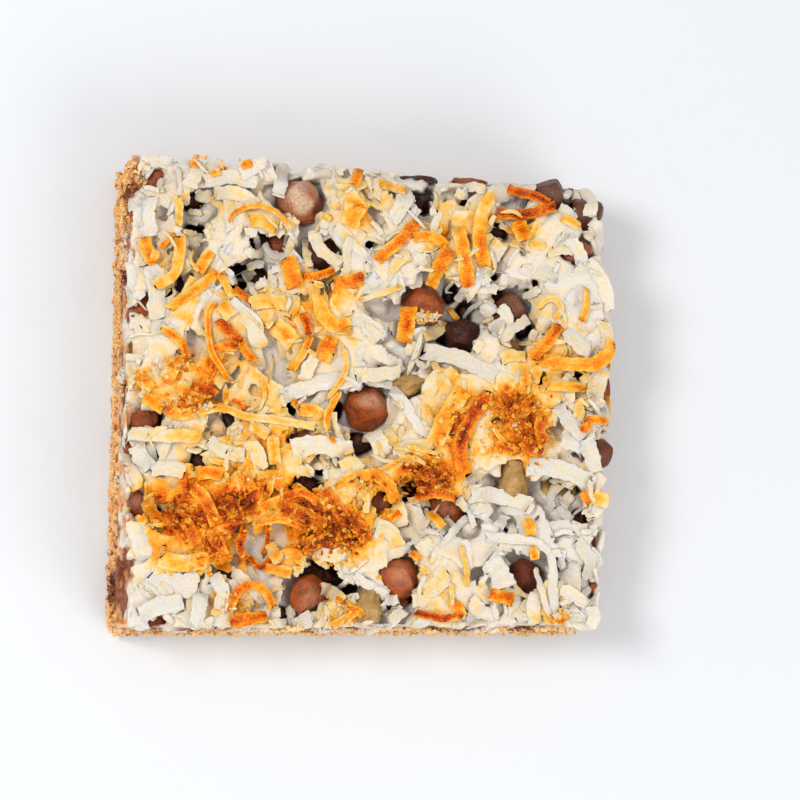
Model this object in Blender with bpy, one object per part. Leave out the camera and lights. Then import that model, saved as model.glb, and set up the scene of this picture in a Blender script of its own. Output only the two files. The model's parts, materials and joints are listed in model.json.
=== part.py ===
"""Coconut magic bar: one square-cut piece of a layered tray bake.

A crumb base carries a layer of chocolate chips and walnuts set in baked milk, and a rough bed of
shredded coconut lies on that. The chips and walnuts that stand out of the bed are pieces of their
own, each in its own pocket. +X is to the right of the bar and +Y to its back, and the origin is
the middle of its underside.
"""

import math
import random

import bmesh
import bpy
from mathutils import Matrix, Vector, noise

MM = 0.001

# Outline seen from above: corners of the crumb base, and how far the bed's right side bulges
FRONT_LEFT = Vector((-44.0, -41.6)) * MM
FRONT_RIGHT = Vector((42.0, -41.7)) * MM
BACK_LEFT = Vector((-42.4, 42.4)) * MM
BACK_RIGHT = Vector((42.0, 36.9)) * MM
RIGHT_BULGE = 1.6 * MM
CORNER_PULL = 1.3 * MM
CORNER_SHARPNESS = 10

# Levels, from the underside up
BASE_TOP = 6.6 * MM
FILLING_TOP = 13.4 * MM
BED_TOP = 21.2 * MM
GAP = 0.3 * MM

# Sides of the layers as (how far in from the outline, height), from the bottom up
CRUMB_SIDE = [(0.6, 0.0), (0.0, 1.5), (0.1, 3.2), (0.3, 5.0)]
CRUMB_RIM_INSET = 1.0 * MM
FILLING_SIDE = [(1.0, 8.8), (1.2, 11.2)]
FILLING_FOOT_INSET = 1.2 * MM
FILLING_RIM_INSET = 1.4 * MM
BED_SIDE = [(1.2, 16.0), (1.3, 18.4)]
BED_FOOT_INSET = 1.5 * MM
BED_RIM_INSET = 1.9 * MM

# Unevenness
LAYER_WAVE = 0.9 * MM
LAYER_WAVE_LENGTH = 21 * MM
CRUMB_LINE = 31
BED_LINE = 32
CRUMB_SIDE_SEED = 1
CRUMB_RIM_SEED = 5
FILLING_FOOT_SEED = 6
FILLING_SIDE_SEED = 7
FILLING_RIM_SEED = 9
BED_FOOT_SEED = 10
BED_SIDE_SEED = 12
BED_RIM_SEED = 14
EDGE_RELIEF = 0.7 * MM
EDGE_GRAIN = 4 * MM
BED_SWELL = 1.7 * MM
BED_SWELL_LENGTH = 17 * MM
BED_LUMP = 1.1 * MM
BED_LUMP_LENGTH = 6.5 * MM
BED_EDGE_DROP = 1.6 * MM
FLAT_BORDER = 6 * MM
SWELL_SEED = 21
LUMP_SEED = 22

# Corners along the outline, which are also the bed's squares
CELLS_X = 23
CELLS_Y = 22

# Hollows in the bed: centre, radius and depth
HOLLOWS = [
    ((-31.5, 33.5), 4.0, 2.0),
    ((-17.5, 27.5), 5.0, 2.2),
    ((-21.5, 22.0), 4.0, 2.0),
    ((-7.5, 24.5), 4.5, 2.4),
    ((-32.0, 19.5), 3.5, 1.6),
    ((17.5, 13.0), 5.5, 2.8),
    ((3.0, 15.5), 4.0, 1.6),
    ((-21.0, -25.0), 4.5, 1.8),
    ((9.5, -17.0), 4.5, 2.2),
    ((27.0, -16.0), 5.0, 1.8),
    ((28.0, -27.0), 6.0, 2.2),
    ((-11.0, -29.5), 3.5, 1.6),
]

# Chocolate chips that stand out of the bed: place, width across, how far the tip leans and which
# way, and how far they rise above the bed
CHIP_HEIGHT = 0.8
CHIP_SIDES = 10
CHIP_OUTLINE = [(0.0, 0.0), (0.86, 0.0), (1.0, 0.14), (0.93, 0.38), (0.7, 0.66), (0.34, 0.9), (0.0, 1.0)]
LEAN_REACH = 0.4
MERGE_WITHIN = 0.001 * MM
SEAT_DEPTH = 2.4 * MM
SEAT_WIDTH = 0.66
CHIP_FLOOR = FILLING_TOP + 3 * GAP
POCKET_ROOM = 3 * GAP
CHIPS = [
    ("chip_01", (-11.4, 34.8), 8.2, 20, 100, 2.2),
    ("chip_02", (10.6, 15.8), 8.2, 12, 250, 2.4),
    ("chip_03", (-0.4, -1.5), 8.2, 24, 150, 2.0),
    ("chip_04", (-10.6, -34.6), 7.0, 30, 200, 2.0),
    ("chip_05", (6.8, -31.0), 8.0, 35, 20, 2.4),
    ("chip_06", (26.2, 16.3), 7.0, 40, 60, 1.6),
    ("chip_07", (33.0, 35.2), 7.2, 25, 330, 1.6),
    ("chip_08", (40.2, 33.0), 6.6, 75, 20, 1.4),
    ("chip_09", (38.2, 26.2), 6.6, 40, 0, 1.6),
    ("chip_10", (41.0, -9.6), 7.0, 80, 0, 1.4),
    ("chip_11", (-38.6, 15.2), 7.0, 80, 180, 1.2),
    ("chip_12", (-6.8, 24.0), 6.6, 50, 300, 2.0),
    ("chip_13", (18.2, 11.6), 6.4, 60, 30, 2.0),
    ("chip_14", (28.2, -30.4), 6.6, 40, 130, 2.2),
]

# Walnut pieces that stand out of the bed: place, length, width, height, heading and rise
NUT_GROOVE = 0.12
NUT_LUMP = 0.3
NUT_GRAIN = 2.6
WALNUTS = [
    ("walnut_01", (26.6, -14.9), 7.6, 5.6, 5.0, 80, 2.0),
    ("walnut_02", (7.4, 2.0), 6.0, 4.2, 4.4, 20, 1.6),
    ("walnut_03", (0.4, -36.0), 6.6, 4.8, 4.6, 70, 1.8),
]

# Toasted and long white shreds that show from a step away: place, heading, length, width, arch
SHREDS = [
    ((-33.0, 24.0), 90, 7.0, 2.4, 0.4),
    ((-30.5, 18.5), 38, 9.5, 2.0, 0.8),
    ((-27.7, 10.0), 88, 10.5, 1.6, 0.5),
    ((-24.5, 11.5), -53, 5.5, 2.2, 0.6),
    ((-34.0, 9.0), -46, 6.0, 1.8, 0.7),
    ((-38.5, 0.3), -45, 6.0, 3.6, 0.3),
    ((-13.4, 21.8), -75, 5.8, 3.2, 0.5),
    ((-8.7, 20.3), 15, 6.0, 1.8, 0.6),
    ((-16.5, 15.6), 10, 8.7, 3.4, 0.5),
    ((-8.2, 14.6), -80, 6.6, 3.0, 0.8),
    ((-11.9, 7.8), 62, 8.2, 1.8, 0.6),
    ((-7.0, 8.0), 75, 5.4, 2.8, 0.4),
    ((-19.4, 33.0), 0, 10.0, 1.6, 1.6),
    ((5.1, 26.3), 46, 10.0, 2.4, 0.7),
    ((12.0, 26.5), -8, 6.5, 2.4, 0.9),
    ((16.5, 25.0), -86, 12.0, 2.6, 0.6),
    ((20.5, 29.2), 80, 12.4, 2.4, 0.9),
    ((28.0, 31.4), 4, 9.6, 2.2, 0.6),
    ((40.2, 19.6), -78, 8.4, 2.6, 0.3),
    ((3.0, 19.6), 19, 7.5, 1.8, 0.5),
    ((4.4, 8.6), 78, 6.6, 2.8, 0.3),
    ((13.6, -2.6), 53, 13.0, 3.2, 0.9),
    ((19.4, -3.0), 61, 12.6, 3.0, 1.3),
    ((31.2, 9.8), 47, 7.2, 2.2, 0.9),
    ((35.0, 5.0), -2, 13.4, 2.8, 0.8),
    ((34.7, 0.8), -3, 8.0, 2.0, 0.5),
    ((26.5, -3.4), 60, 8.0, 4.8, 0.5),
    ((25.4, -7.8), -20, 8.0, 4.2, 0.4),
    ((-35.4, -6.7), -2, 12.4, 2.4, 0.5),
    ((-23.0, -3.4), -5, 13.0, 1.8, 0.5),
    ((-6.1, -18.6), -52, 6.4, 2.8, 0.6),
    ((0.7, -15.2), 15, 6.4, 2.6, 1.3),
    ((12.0, -14.6), 5, 8.4, 3.8, 0.5),
    ((-21.2, -26.6), 82, 7.0, 2.0, 0.9),
    ((-21.0, -38.2), 18, 7.4, 2.4, 0.5),
    ((13.4, -37.6), -3, 9.2, 2.0, 0.4),
    ((16.4, -31.0), -88, 11.0, 1.6, 0.5),
    ((22.4, -35.2), -8, 5.4, 2.8, 0.4),
    ((24.4, -24.4), -10, 9.0, 2.0, 0.7),
    ((33.4, -29.0), -80, 8.0, 2.0, 0.7),
    ((33.4, -10.6), -10, 12.6, 3.4, 0.4),
]

# Shreds that fill the bed between those, laid by chance from a fixed seed
SHRED_THICKNESS = 1.1 * MM
SHRED_END_WIDTH = 0.7
SHRED_REST = 0.1 * MM
SHRED_CROWN = 0.35
LONG_SHRED = 10.5 * MM
PLACED_BEND = 0.5
PLACED_ROLL = 0.3
SPREAD_SEED = 8
SPREAD_COUNT = 30
TRIES_PER_SHRED = 60
SPREAD_LENGTH = (7.0, 12.0)
SPREAD_WIDTH = (1.9, 3.0)
SPREAD_ARCH = (0.1, 1.1)
SPREAD_BEND = 0.9
SPREAD_ROLL = 0.4
SPREAD_INSET = 3.2 * MM
SPREAD_SPACING = 6.2 * MM
CROSSING = 0.4 * MM
EDGE_SHREDS = 16
EDGE_SHRED_RUN = 0.85
EDGE_SHRED_LEVELS = (16.0, 19.4)
EDGE_SHRED_SLOPE = 0.35
EDGE_SHRED_LENGTH = (5.5, 9.0)
EDGE_SHRED_WIDTH = (1.8, 2.6)
EDGE_SHRED_INSET = 1.4 * MM
EDGE_CLEARANCE = 3 * MM
OVERHANG = 0.8 * MM

# Chips and nuts that show in the sides of the filling
SIDE_PIECES = 24
SIDE_PIECE_RUN = 0.92
SIDE_PIECE_WIDTH = (5.0, 7.4)
SIDE_PIECE_FLATNESS = 0.8
SIDE_PIECE_HEIGHT = 5.2 * MM
SIDE_PIECE_ROOM = 0.3 * MM
SIDE_PIECE_INSET = 1.0 * MM
SIDE_PIECE_SUNK = 0.34
SIDE_PIECE_SEGMENTS = 7
SIDE_PIECE_ROWS = 5
SIDE_SEED = 11


def clear_scene():
    for obj in list(bpy.data.objects):
        bpy.data.objects.remove(obj, do_unlink=True)


def material(name, colour, roughness):
    """A plain opaque food surface."""
    made = bpy.data.materials.new(name)
    made.use_nodes = True
    shader = made.node_tree.nodes["Principled BSDF"]
    shader.inputs["Base Color"].default_value = (*colour, 1.0)
    shader.inputs["Roughness"].default_value = roughness
    shader.inputs["Metallic"].default_value = 0.0
    return made


def object_from(bm, name, finish=None, collection=None):
    """Links the finished mesh as one object and frees the bmesh."""
    bmesh.ops.recalc_face_normals(bm, faces=bm.faces)
    mesh = bpy.data.meshes.new(name)
    bm.to_mesh(mesh)
    bm.free()
    made = bpy.data.objects.new(name, mesh)
    (collection or bpy.context.scene.collection).objects.link(made)
    if finish:
        mesh.materials.append(finish)
    return made


def wave(x, y, seed, length):
    """Smooth unevenness between -1 and 1."""
    return noise.noise(Vector((x / length, y / length, seed)))


def plan(u, v, inset, relief=0.0):
    """A point seen from above: u runs from the left side to the right, v from front to back."""
    front = FRONT_LEFT.lerp(FRONT_RIGHT, (u + 1) / 2)
    back = BACK_LEFT.lerp(BACK_RIGHT, (u + 1) / 2)
    point = front.lerp(back, (v + 1) / 2)
    pull = inset + CORNER_PULL * abs(u * v) ** CORNER_SHARPNESS - relief
    return point - Vector((u, v)) * pull


def bed_plan(u, v, inset, relief=0.0):
    """The bed's outline, which bulges to the right."""
    bulge = RIGHT_BULGE * max(u, 0.0) ** 4 * (1 - v * v)
    return plan(u, v, inset, relief) + Vector((bulge, 0.0))


def outline():
    """(u, v) of the corners round the bar, counter-clockwise seen from above."""
    along_x = [2 * i / CELLS_X - 1 for i in range(CELLS_X)]
    along_y = [2 * i / CELLS_Y - 1 for i in range(CELLS_Y)]
    front = [(u, -1.0) for u in along_x]
    right = [(1.0, v) for v in along_y]
    back = [(-u, 1.0) for u in along_x]
    left = [(-1.0, -v) for v in along_y]
    return front + right + back + left


def layer_level(point, level, line):
    """Height of a wavy line between two layers, the same wave for the layers on both sides of it."""
    return level + LAYER_WAVE * wave(point.x, point.y, line, LAYER_WAVE_LENGTH)


def ring(bm, shape, inset, level, seed, line=None):
    """One row of corners round the bar, roughened like a cut edge."""
    corners = []
    for u, v in outline():
        flat = shape(u, v, inset)
        rough = EDGE_RELIEF * wave(flat.x + level, flat.y - level, seed, EDGE_GRAIN) if seed else 0.0
        point = shape(u, v, inset, rough)
        height = layer_level(flat, level, line) if line else level
        corners.append(bm.verts.new((point.x, point.y, height)))
    return corners


def side_rings(bm, shape, side, seed):
    """The rows of corners up a layer's side."""
    return [
        ring(bm, shape, inset * MM, level * MM, seed + i)
        for i, (inset, level) in enumerate(side)
    ]


def band(bm, lower, upper):
    """A row of faces between two rings."""
    for i in range(len(lower)):
        j = (i + 1) % len(lower)
        bm.faces.new((lower[i], lower[j], upper[j], upper[i]))


def stack(bm, rings):
    for lower, upper in zip(rings, rings[1:]):
        band(bm, lower, upper)


def crumb_base(finish):
    """The pressed biscuit base, wider than what it carries and flat underneath."""
    bm = bmesh.new()
    rings = side_rings(bm, plan, CRUMB_SIDE, CRUMB_SIDE_SEED)
    rings.append(ring(bm, plan, CRUMB_RIM_INSET, BASE_TOP, CRUMB_RIM_SEED, CRUMB_LINE))
    rings.append(ring(bm, plan, CRUMB_RIM_INSET + FLAT_BORDER, BASE_TOP, 0))
    stack(bm, rings)
    bm.faces.new(list(reversed(rings[0])))
    bm.faces.new(rings[-1])
    return object_from(bm, "crumb_base", finish)


def filling_core(finish):
    """The chip and walnut layer without the pieces that show in its sides."""
    bm = bmesh.new()
    floor = BASE_TOP + GAP
    rings = [
        ring(bm, plan, FILLING_FOOT_INSET + FLAT_BORDER, floor, 0),
        ring(bm, plan, FILLING_FOOT_INSET, floor, FILLING_FOOT_SEED, CRUMB_LINE),
        *side_rings(bm, plan, FILLING_SIDE, FILLING_SIDE_SEED),
        ring(bm, plan, FILLING_RIM_INSET, FILLING_TOP, FILLING_RIM_SEED, BED_LINE),
        ring(bm, plan, FILLING_RIM_INSET + FLAT_BORDER, FILLING_TOP, 0),
    ]
    stack(bm, rings)
    bm.faces.new(list(reversed(rings[0])))
    bm.faces.new(rings[-1])
    return object_from(bm, "chocolate_nut_layer", finish)


def bed_level(x, y):
    """Top of the coconut bed without its shreds and the chips' seats."""
    height = BED_TOP
    height += BED_SWELL * wave(x, y, SWELL_SEED, BED_SWELL_LENGTH)
    height += BED_LUMP * wave(x, y, LUMP_SEED, BED_LUMP_LENGTH)
    for (hollow_x, hollow_y), radius, depth in HOLLOWS:
        off = math.hypot(x - hollow_x * MM, y - hollow_y * MM) / (radius * MM)
        height -= depth * MM * math.exp(-off * off)
    return height


def bed_height(x, y):
    """Top of the coconut bed, sunk round each chip and walnut."""
    offs = [
        math.hypot(x - place[0] * MM, y - place[1] * MM) / (width * MM * SEAT_WIDTH)
        for _, place, width, *_ in CHIPS + WALNUTS
    ]
    return bed_level(x, y) - SEAT_DEPTH * math.exp(-(min(offs) ** 4))


def bed_core(finish):
    """The coconut bed without its shreds: an uneven top on rough sides."""
    bm = bmesh.new()
    floor = FILLING_TOP + GAP
    rings = [
        ring(bm, bed_plan, BED_FOOT_INSET + FLAT_BORDER, floor, 0),
        ring(bm, bed_plan, BED_FOOT_INSET, floor, BED_FOOT_SEED, BED_LINE),
        *side_rings(bm, bed_plan, BED_SIDE, BED_SIDE_SEED),
    ]
    rim = ring(bm, bed_plan, BED_RIM_INSET, BED_TOP, BED_RIM_SEED)
    for corner in rim:
        corner.co.z = bed_height(corner.co.x, corner.co.y) - BED_EDGE_DROP
    rings.append(rim)
    stack(bm, rings)
    bm.faces.new(list(reversed(rings[0])))
    rows = bed_rows(bm, rim)
    for front, back in zip(rows, rows[1:]):
        for i in range(CELLS_X):
            bm.faces.new((front[i], front[i + 1], back[i + 1], back[i]))
    return object_from(bm, "coconut_topping", finish)


def bed_rows(bm, rim):
    """The corners of the bed's squares, row by row from the front, sharing the rim's own."""
    front = rim[: CELLS_X + 1]
    right = rim[CELLS_X : CELLS_X + CELLS_Y + 1]
    back_start = CELLS_X + CELLS_Y
    back = list(reversed(rim[back_start : back_start + CELLS_X + 1]))
    left = [rim[0]] + list(reversed(rim[back_start + CELLS_X :]))
    rows = [front]
    for j in range(1, CELLS_Y):
        v = 2 * j / CELLS_Y - 1
        inner = []
        for i in range(1, CELLS_X):
            point = bed_plan(2 * i / CELLS_X - 1, v, BED_RIM_INSET)
            inner.append(bm.verts.new((point.x, point.y, bed_height(point.x, point.y))))
        rows.append([left[j], *inner, right[j]])
    rows.append(back)
    return rows


def strip(path, ups, width, thickness, collection, name):
    """A flat shred: a four-sided section carried along its path, narrower at both ends."""
    bm = bmesh.new()
    sections = []
    last = len(path) - 1
    for i, (centre, up) in enumerate(zip(path, ups)):
        along = (path[min(i + 1, last)] - path[max(i - 1, 0)]).normalized()
        side = along.cross(up).normalized()
        normal = side.cross(along)
        half_width = width / 2 * (SHRED_END_WIDTH if i in (0, last) else 1.0)
        half_thickness = thickness / 2
        sections.append(
            [
                bm.verts.new(centre + side * half_width * a + normal * half_thickness * b)
                for a, b in ((-1, -1), (1, -1), (1, 1), (-1, 1))
            ]
        )
    stack(bm, sections)
    bm.faces.new(list(reversed(sections[0])))
    bm.faces.new(sections[-1])
    return object_from(bm, name, collection=collection)


def top_shred(place, heading, length, width, arch, bend, roll, collection, name):
    """A shred that lies on the bed, its ends in the bed and its middle raised by the arch."""
    pieces = 4 if length > LONG_SHRED else 3
    turn = math.radians(heading)
    path = []
    ups = []
    for i in range(pieces + 1):
        s = i / pieces - 0.5
        direction = turn + bend * s
        off = Vector((math.cos(direction), math.sin(direction))) * length * s
        x = place[0] + off.x
        y = place[1] + off.y
        lift = SHRED_REST + (SHRED_CROWN + arch) * (1 - 4 * s * s) * MM
        path.append(Vector((x, y, bed_height(x, y) + lift)))
        across = Vector((-math.sin(turn), math.cos(turn), 0))
        ups.append(Vector((0, 0, 1)) + across * math.tan(roll))
    return strip(path, ups, width, SHRED_THICKNESS, collection, name)


def edge_shred(u, v, level, slope, length, width, collection, name):
    """A shred that lies against a side of the bed."""
    along_x = abs(v) == 1.0
    half = length / (FRONT_RIGHT.x - FRONT_LEFT.x)
    path = []
    ups = []
    for i in range(4):
        s = (i / 3 - 0.5) * 2
        at = (u + s * half, v) if along_x else (u, v + s * half)
        point = bed_plan(*at, EDGE_SHRED_INSET, SHRED_CROWN * MM * (1 - s * s))
        outward = Vector((0, v, 0)) if along_x else Vector((u, 0, 0))
        path.append(Vector((point.x, point.y, level + slope * s * length / 2)))
        ups.append(outward)
    return strip(path, ups, width, SHRED_THICKNESS, collection, name)


def near_topping(x, y, margin):
    """Whether a place is over a chip or a walnut that has a node of its own."""
    return any(
        math.hypot(x - place[0] * MM, y - place[1] * MM) < width / 2 * MM + margin
        for _, place, width, *_ in CHIPS + WALNUTS
    )


def crosses_topping(x, y, heading, length, width):
    """Whether a shred laid here would cross a chip or a walnut."""
    for s in (-0.5, -0.25, 0.0, 0.25, 0.5):
        at_x = x + math.cos(math.radians(heading)) * length * s
        at_y = y + math.sin(math.radians(heading)) * length * s
        if near_topping(at_x, at_y, width / 2 - CROSSING):
            return True
    return False


def lay_placed_shreds(collection):
    draw = random.Random(SPREAD_SEED)
    for i, ((x, y), heading, length, width, arch) in enumerate(SHREDS):
        bend = draw.uniform(-PLACED_BEND, PLACED_BEND)
        roll = draw.uniform(-PLACED_ROLL, PLACED_ROLL)
        place = (x * MM, y * MM)
        name = f"placed_shred_{i}"
        top_shred(place, heading, length * MM, width * MM, arch, bend, roll, collection, name)


def lay_spread_shreds(collection):
    """Fills the bed between the placed shreds, keeping clear of the chips and walnuts."""
    draw = random.Random(SPREAD_SEED + 1)
    taken = [Vector(place) * MM for place, *_ in SHREDS]
    laid = 0
    for _ in range(SPREAD_COUNT * TRIES_PER_SHRED):
        if laid == SPREAD_COUNT:
            break
        u = draw.uniform(-1, 1)
        v = draw.uniform(-1, 1)
        heading = draw.uniform(0, 180)
        length = draw.uniform(*SPREAD_LENGTH) * MM
        width = draw.uniform(*SPREAD_WIDTH) * MM
        arch = draw.uniform(*SPREAD_ARCH)
        bend = draw.uniform(-SPREAD_BEND, SPREAD_BEND)
        roll = draw.uniform(-SPREAD_ROLL, SPREAD_ROLL)
        point = bed_plan(u, v, SPREAD_INSET)
        if any((point - other).length < SPREAD_SPACING for other in taken):
            continue
        if crosses_topping(point.x, point.y, heading, length, width):
            continue
        if ends_outside(point, heading, length):
            continue
        name = f"spread_shred_{laid}"
        top_shred(point, heading, length, width, arch, bend, roll, collection, name)
        taken.append(point)
        laid += 1


def ends_outside(point, heading, length):
    """Whether a shred's end would hang far over the bed's rim."""
    along = Vector((math.cos(math.radians(heading)), math.sin(math.radians(heading)))) * length / 2
    for end in (point + along, point - along):
        if not FRONT_LEFT.x + OVERHANG < end.x < FRONT_RIGHT.x + OVERHANG:
            return True
        if not FRONT_LEFT.y < end.y < BACK_RIGHT.y + OVERHANG:
            return True
    return False


def round_the_bar(t, run):
    """(u, v) on the four sides, one after another, as t goes from 0 to 4."""
    along = 2 * run * (t % 1.0) - run
    return [(along, -1.0), (1.0, along), (-along, 1.0), (-1.0, -along)][int(t)]


def lay_edge_shreds(collection):
    """Shreds that show in the four sides of the bed."""
    draw = random.Random(SPREAD_SEED + 2)
    for i in range(EDGE_SHREDS):
        t = (i + draw.uniform(0.1, 0.9)) / EDGE_SHREDS * 4
        u, v = round_the_bar(t, EDGE_SHRED_RUN)
        level = draw.uniform(*EDGE_SHRED_LEVELS) * MM
        slope = draw.uniform(-EDGE_SHRED_SLOPE, EDGE_SHRED_SLOPE)
        length = draw.uniform(*EDGE_SHRED_LENGTH) * MM
        width = draw.uniform(*EDGE_SHRED_WIDTH) * MM
        point = bed_plan(u, v, EDGE_CLEARANCE)
        heading = 90 if abs(u) == 1 else 0
        if crosses_topping(point.x, point.y, heading, length, EDGE_CLEARANCE):
            continue
        edge_shred(u, v, level, slope, length, width, collection, f"edge_shred_{i}")


def lay_side_pieces(collection):
    """Chips and nut pieces that show, cut or whole, in the sides of the filling."""
    draw = random.Random(SIDE_SEED)
    for i in range(SIDE_PIECES):
        t = (i + draw.uniform(0.2, 0.8)) / SIDE_PIECES * 4
        u, v = round_the_bar(t, SIDE_PIECE_RUN)
        width = draw.uniform(*SIDE_PIECE_WIDTH) * MM
        height = min(width * SIDE_PIECE_FLATNESS, SIDE_PIECE_HEIGHT)
        lowest = BASE_TOP + GAP + height / 2 + SIDE_PIECE_ROOM
        highest = FILLING_TOP - height / 2 - SIDE_PIECE_ROOM
        level = draw.uniform(lowest, highest)
        point = plan(u, v, SIDE_PIECE_INSET + width * SIDE_PIECE_SUNK)
        bm = bmesh.new()
        bmesh.ops.create_uvsphere(
            bm, u_segments=SIDE_PIECE_SEGMENTS, v_segments=SIDE_PIECE_ROWS, radius=0.5
        )
        turn = Matrix.Rotation(draw.uniform(0, 2 * math.pi), 4, "Z")
        size = Matrix.Diagonal((width, width, height, 1.0))
        place = Matrix.Translation((point.x, point.y, level))
        bmesh.ops.transform(bm, matrix=place @ turn @ size, verts=bm.verts)
        object_from(bm, f"side_piece_{i}", collection=collection)


def new_collection(name):
    made = bpy.data.collections.new(name)
    bpy.context.scene.collection.children.link(made)
    return made


def join(target, collection, operation):
    """Unites the target with all that the collection holds, or cuts it by it, for good."""
    step = target.modifiers.new(operation.title(), "BOOLEAN")
    step.operation = operation
    step.operand_type = "COLLECTION"
    step.collection = collection
    step.solver = "MANIFOLD"
    graph = bpy.context.evaluated_depsgraph_get()
    result = bpy.data.meshes.new_from_object(target.evaluated_get(graph))
    target.modifiers.clear()
    before = target.data
    target.data = result
    bpy.data.meshes.remove(before)
    for obj in list(collection.objects):
        bpy.data.objects.remove(obj, do_unlink=True)
    bpy.data.collections.remove(collection)


def islands(bm):
    """The faces in connected groups."""
    left = set(bm.faces)
    groups = []
    while left:
        start = left.pop()
        group = [start]
        reach = [start]
        while reach:
            face = reach.pop()
            for edge in face.edges:
                for other in edge.link_faces:
                    if other in left:
                        left.remove(other)
                        group.append(other)
                        reach.append(other)
        groups.append(group)
    return groups


def keep_largest(target):
    """Drops loose scraps, and fills hollows that the joining sealed."""
    bm = bmesh.new()
    bm.from_mesh(target.data)
    groups = sorted(islands(bm), key=len)
    for group in groups[:-1]:
        bmesh.ops.delete(bm, geom=group, context="FACES")
    bm.to_mesh(target.data)
    bm.free()


def chip_profile(width):
    """Half outline of a softened chocolate chip, from the middle of its foot to its tip."""
    radius = width / 2
    height = width * CHIP_HEIGHT
    return [Vector((r * radius, 0.0, z * height - height / 2)) for r, z in CHIP_OUTLINE]


def turned(profile):
    """A closed body turned about Z from a half outline."""
    bm = bmesh.new()
    corners = [bm.verts.new(point) for point in profile]
    edges = [bm.edges.new(pair) for pair in zip(corners, corners[1:])]
    bmesh.ops.spin(
        bm,
        geom=corners + edges,
        axis=(0, 0, 1),
        cent=(0, 0, 0),
        angle=2 * math.pi,
        steps=CHIP_SIDES,
        use_merge=True,
    )
    bmesh.ops.remove_doubles(bm, verts=bm.verts, dist=MERGE_WITHIN)
    return bm


def chip_matrix(place, width, lean, lean_heading, rise):
    """Puts a chip into the bed, leaning, so that its top stands out by the rise."""
    heading = Matrix.Rotation(math.radians(lean_heading), 4, "Z")
    turn = heading @ Matrix.Rotation(math.radians(lean), 4, "Y")
    half_height = width * CHIP_HEIGHT / 2
    aside = math.sin(math.radians(lean)) * width * LEAN_REACH
    reach = abs(math.cos(math.radians(lean))) * half_height + aside
    x = place[0] * MM
    y = place[1] * MM
    level = bed_level(x, y) + (rise - reach) * MM
    level = max(level, CHIP_FLOOR + reach * MM)
    return Matrix.Translation((x, y, level)) @ turn


def chip(name, place, width, lean, lean_heading, rise, finish, pockets):
    """A chocolate chip, and the slightly larger pocket that the bed leaves for it."""
    matrix = chip_matrix(place, width, lean, lean_heading, rise)
    bm = turned(chip_profile(width * MM))
    bmesh.ops.transform(bm, matrix=matrix, verts=bm.verts)
    made = object_from(bm, name, finish)
    made.data.shade_smooth()
    pocket = turned(chip_profile(width * MM + POCKET_ROOM))
    bmesh.ops.transform(pocket, matrix=matrix, verts=pocket.verts)
    object_from(pocket, f"pocket_{name}", collection=pockets)
    return made


def nut_body(length, width, height, seed, extra=0.0):
    """A craggy broken walnut piece."""
    bm = bmesh.new()
    bmesh.ops.create_icosphere(bm, subdivisions=2, radius=0.5)
    for corner in bm.verts:
        groove = NUT_GROOVE * math.cos(3 * math.atan2(corner.co.y, corner.co.x))
        lump = NUT_LUMP * noise.noise(corner.co * NUT_GRAIN + Vector((seed, 0, 0)))
        corner.co *= 1 + groove + lump
        corner.co.x *= length + extra
        corner.co.y *= width + extra
        corner.co.z *= height + extra
    return bm


def walnut(name, place, length, width, height, heading, rise, finish, pockets):
    x = place[0] * MM
    y = place[1] * MM
    level = bed_level(x, y) + (rise - height / 2) * MM
    matrix = Matrix.Translation((x, y, level)) @ Matrix.Rotation(math.radians(heading), 4, "Z")
    seed = length + width
    bm = nut_body(length * MM, width * MM, height * MM, seed)
    bmesh.ops.transform(bm, matrix=matrix, verts=bm.verts)
    made = object_from(bm, name, finish)
    pocket = nut_body(length * MM, width * MM, height * MM, seed, POCKET_ROOM)
    bmesh.ops.transform(pocket, matrix=matrix, verts=pocket.verts)
    object_from(pocket, f"pocket_{name}", collection=pockets)
    return made


def build():
    clear_scene()
    crumb = material("baked_crumb", (0.70, 0.42, 0.20), 0.85)
    filling = material("milk_and_chips", (0.42, 0.24, 0.14), 0.6)
    coconut = material("toasted_coconut", (0.86, 0.76, 0.58), 0.65)
    chocolate = material("milk_chocolate", (0.16, 0.06, 0.035), 0.4)
    nut = material("walnut", (0.40, 0.27, 0.13), 0.6)

    crumb_base(crumb)

    side_pieces = new_collection("side_pieces")
    layer = filling_core(filling)
    lay_side_pieces(side_pieces)
    join(layer, side_pieces, "UNION")
    keep_largest(layer)

    shreds = new_collection("shreds")
    bed = bed_core(coconut)
    lay_placed_shreds(shreds)
    lay_spread_shreds(shreds)
    lay_edge_shreds(shreds)
    join(bed, shreds, "UNION")

    pockets = new_collection("pockets")
    for row in CHIPS:
        chip(*row, chocolate, pockets)
    for row in WALNUTS:
        walnut(*row, nut, pockets)
    join(bed, pockets, "DIFFERENCE")
    keep_largest(bed)


build()
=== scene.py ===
"""Coconut magic bar, dressed: toasted coconut over chips and walnuts in baked milk on a crumb base.

Lengths are millimetres and meshes are written in metres. Places read off the photograph are pixels
of its 800 by 800 frame, which spot() turns into places on the bar.
"""

import json
import math
import random

import bmesh
import bpy
import numpy as np
from mathutils import Matrix, Vector
from mathutils.bvhtree import BVHTree

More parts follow.
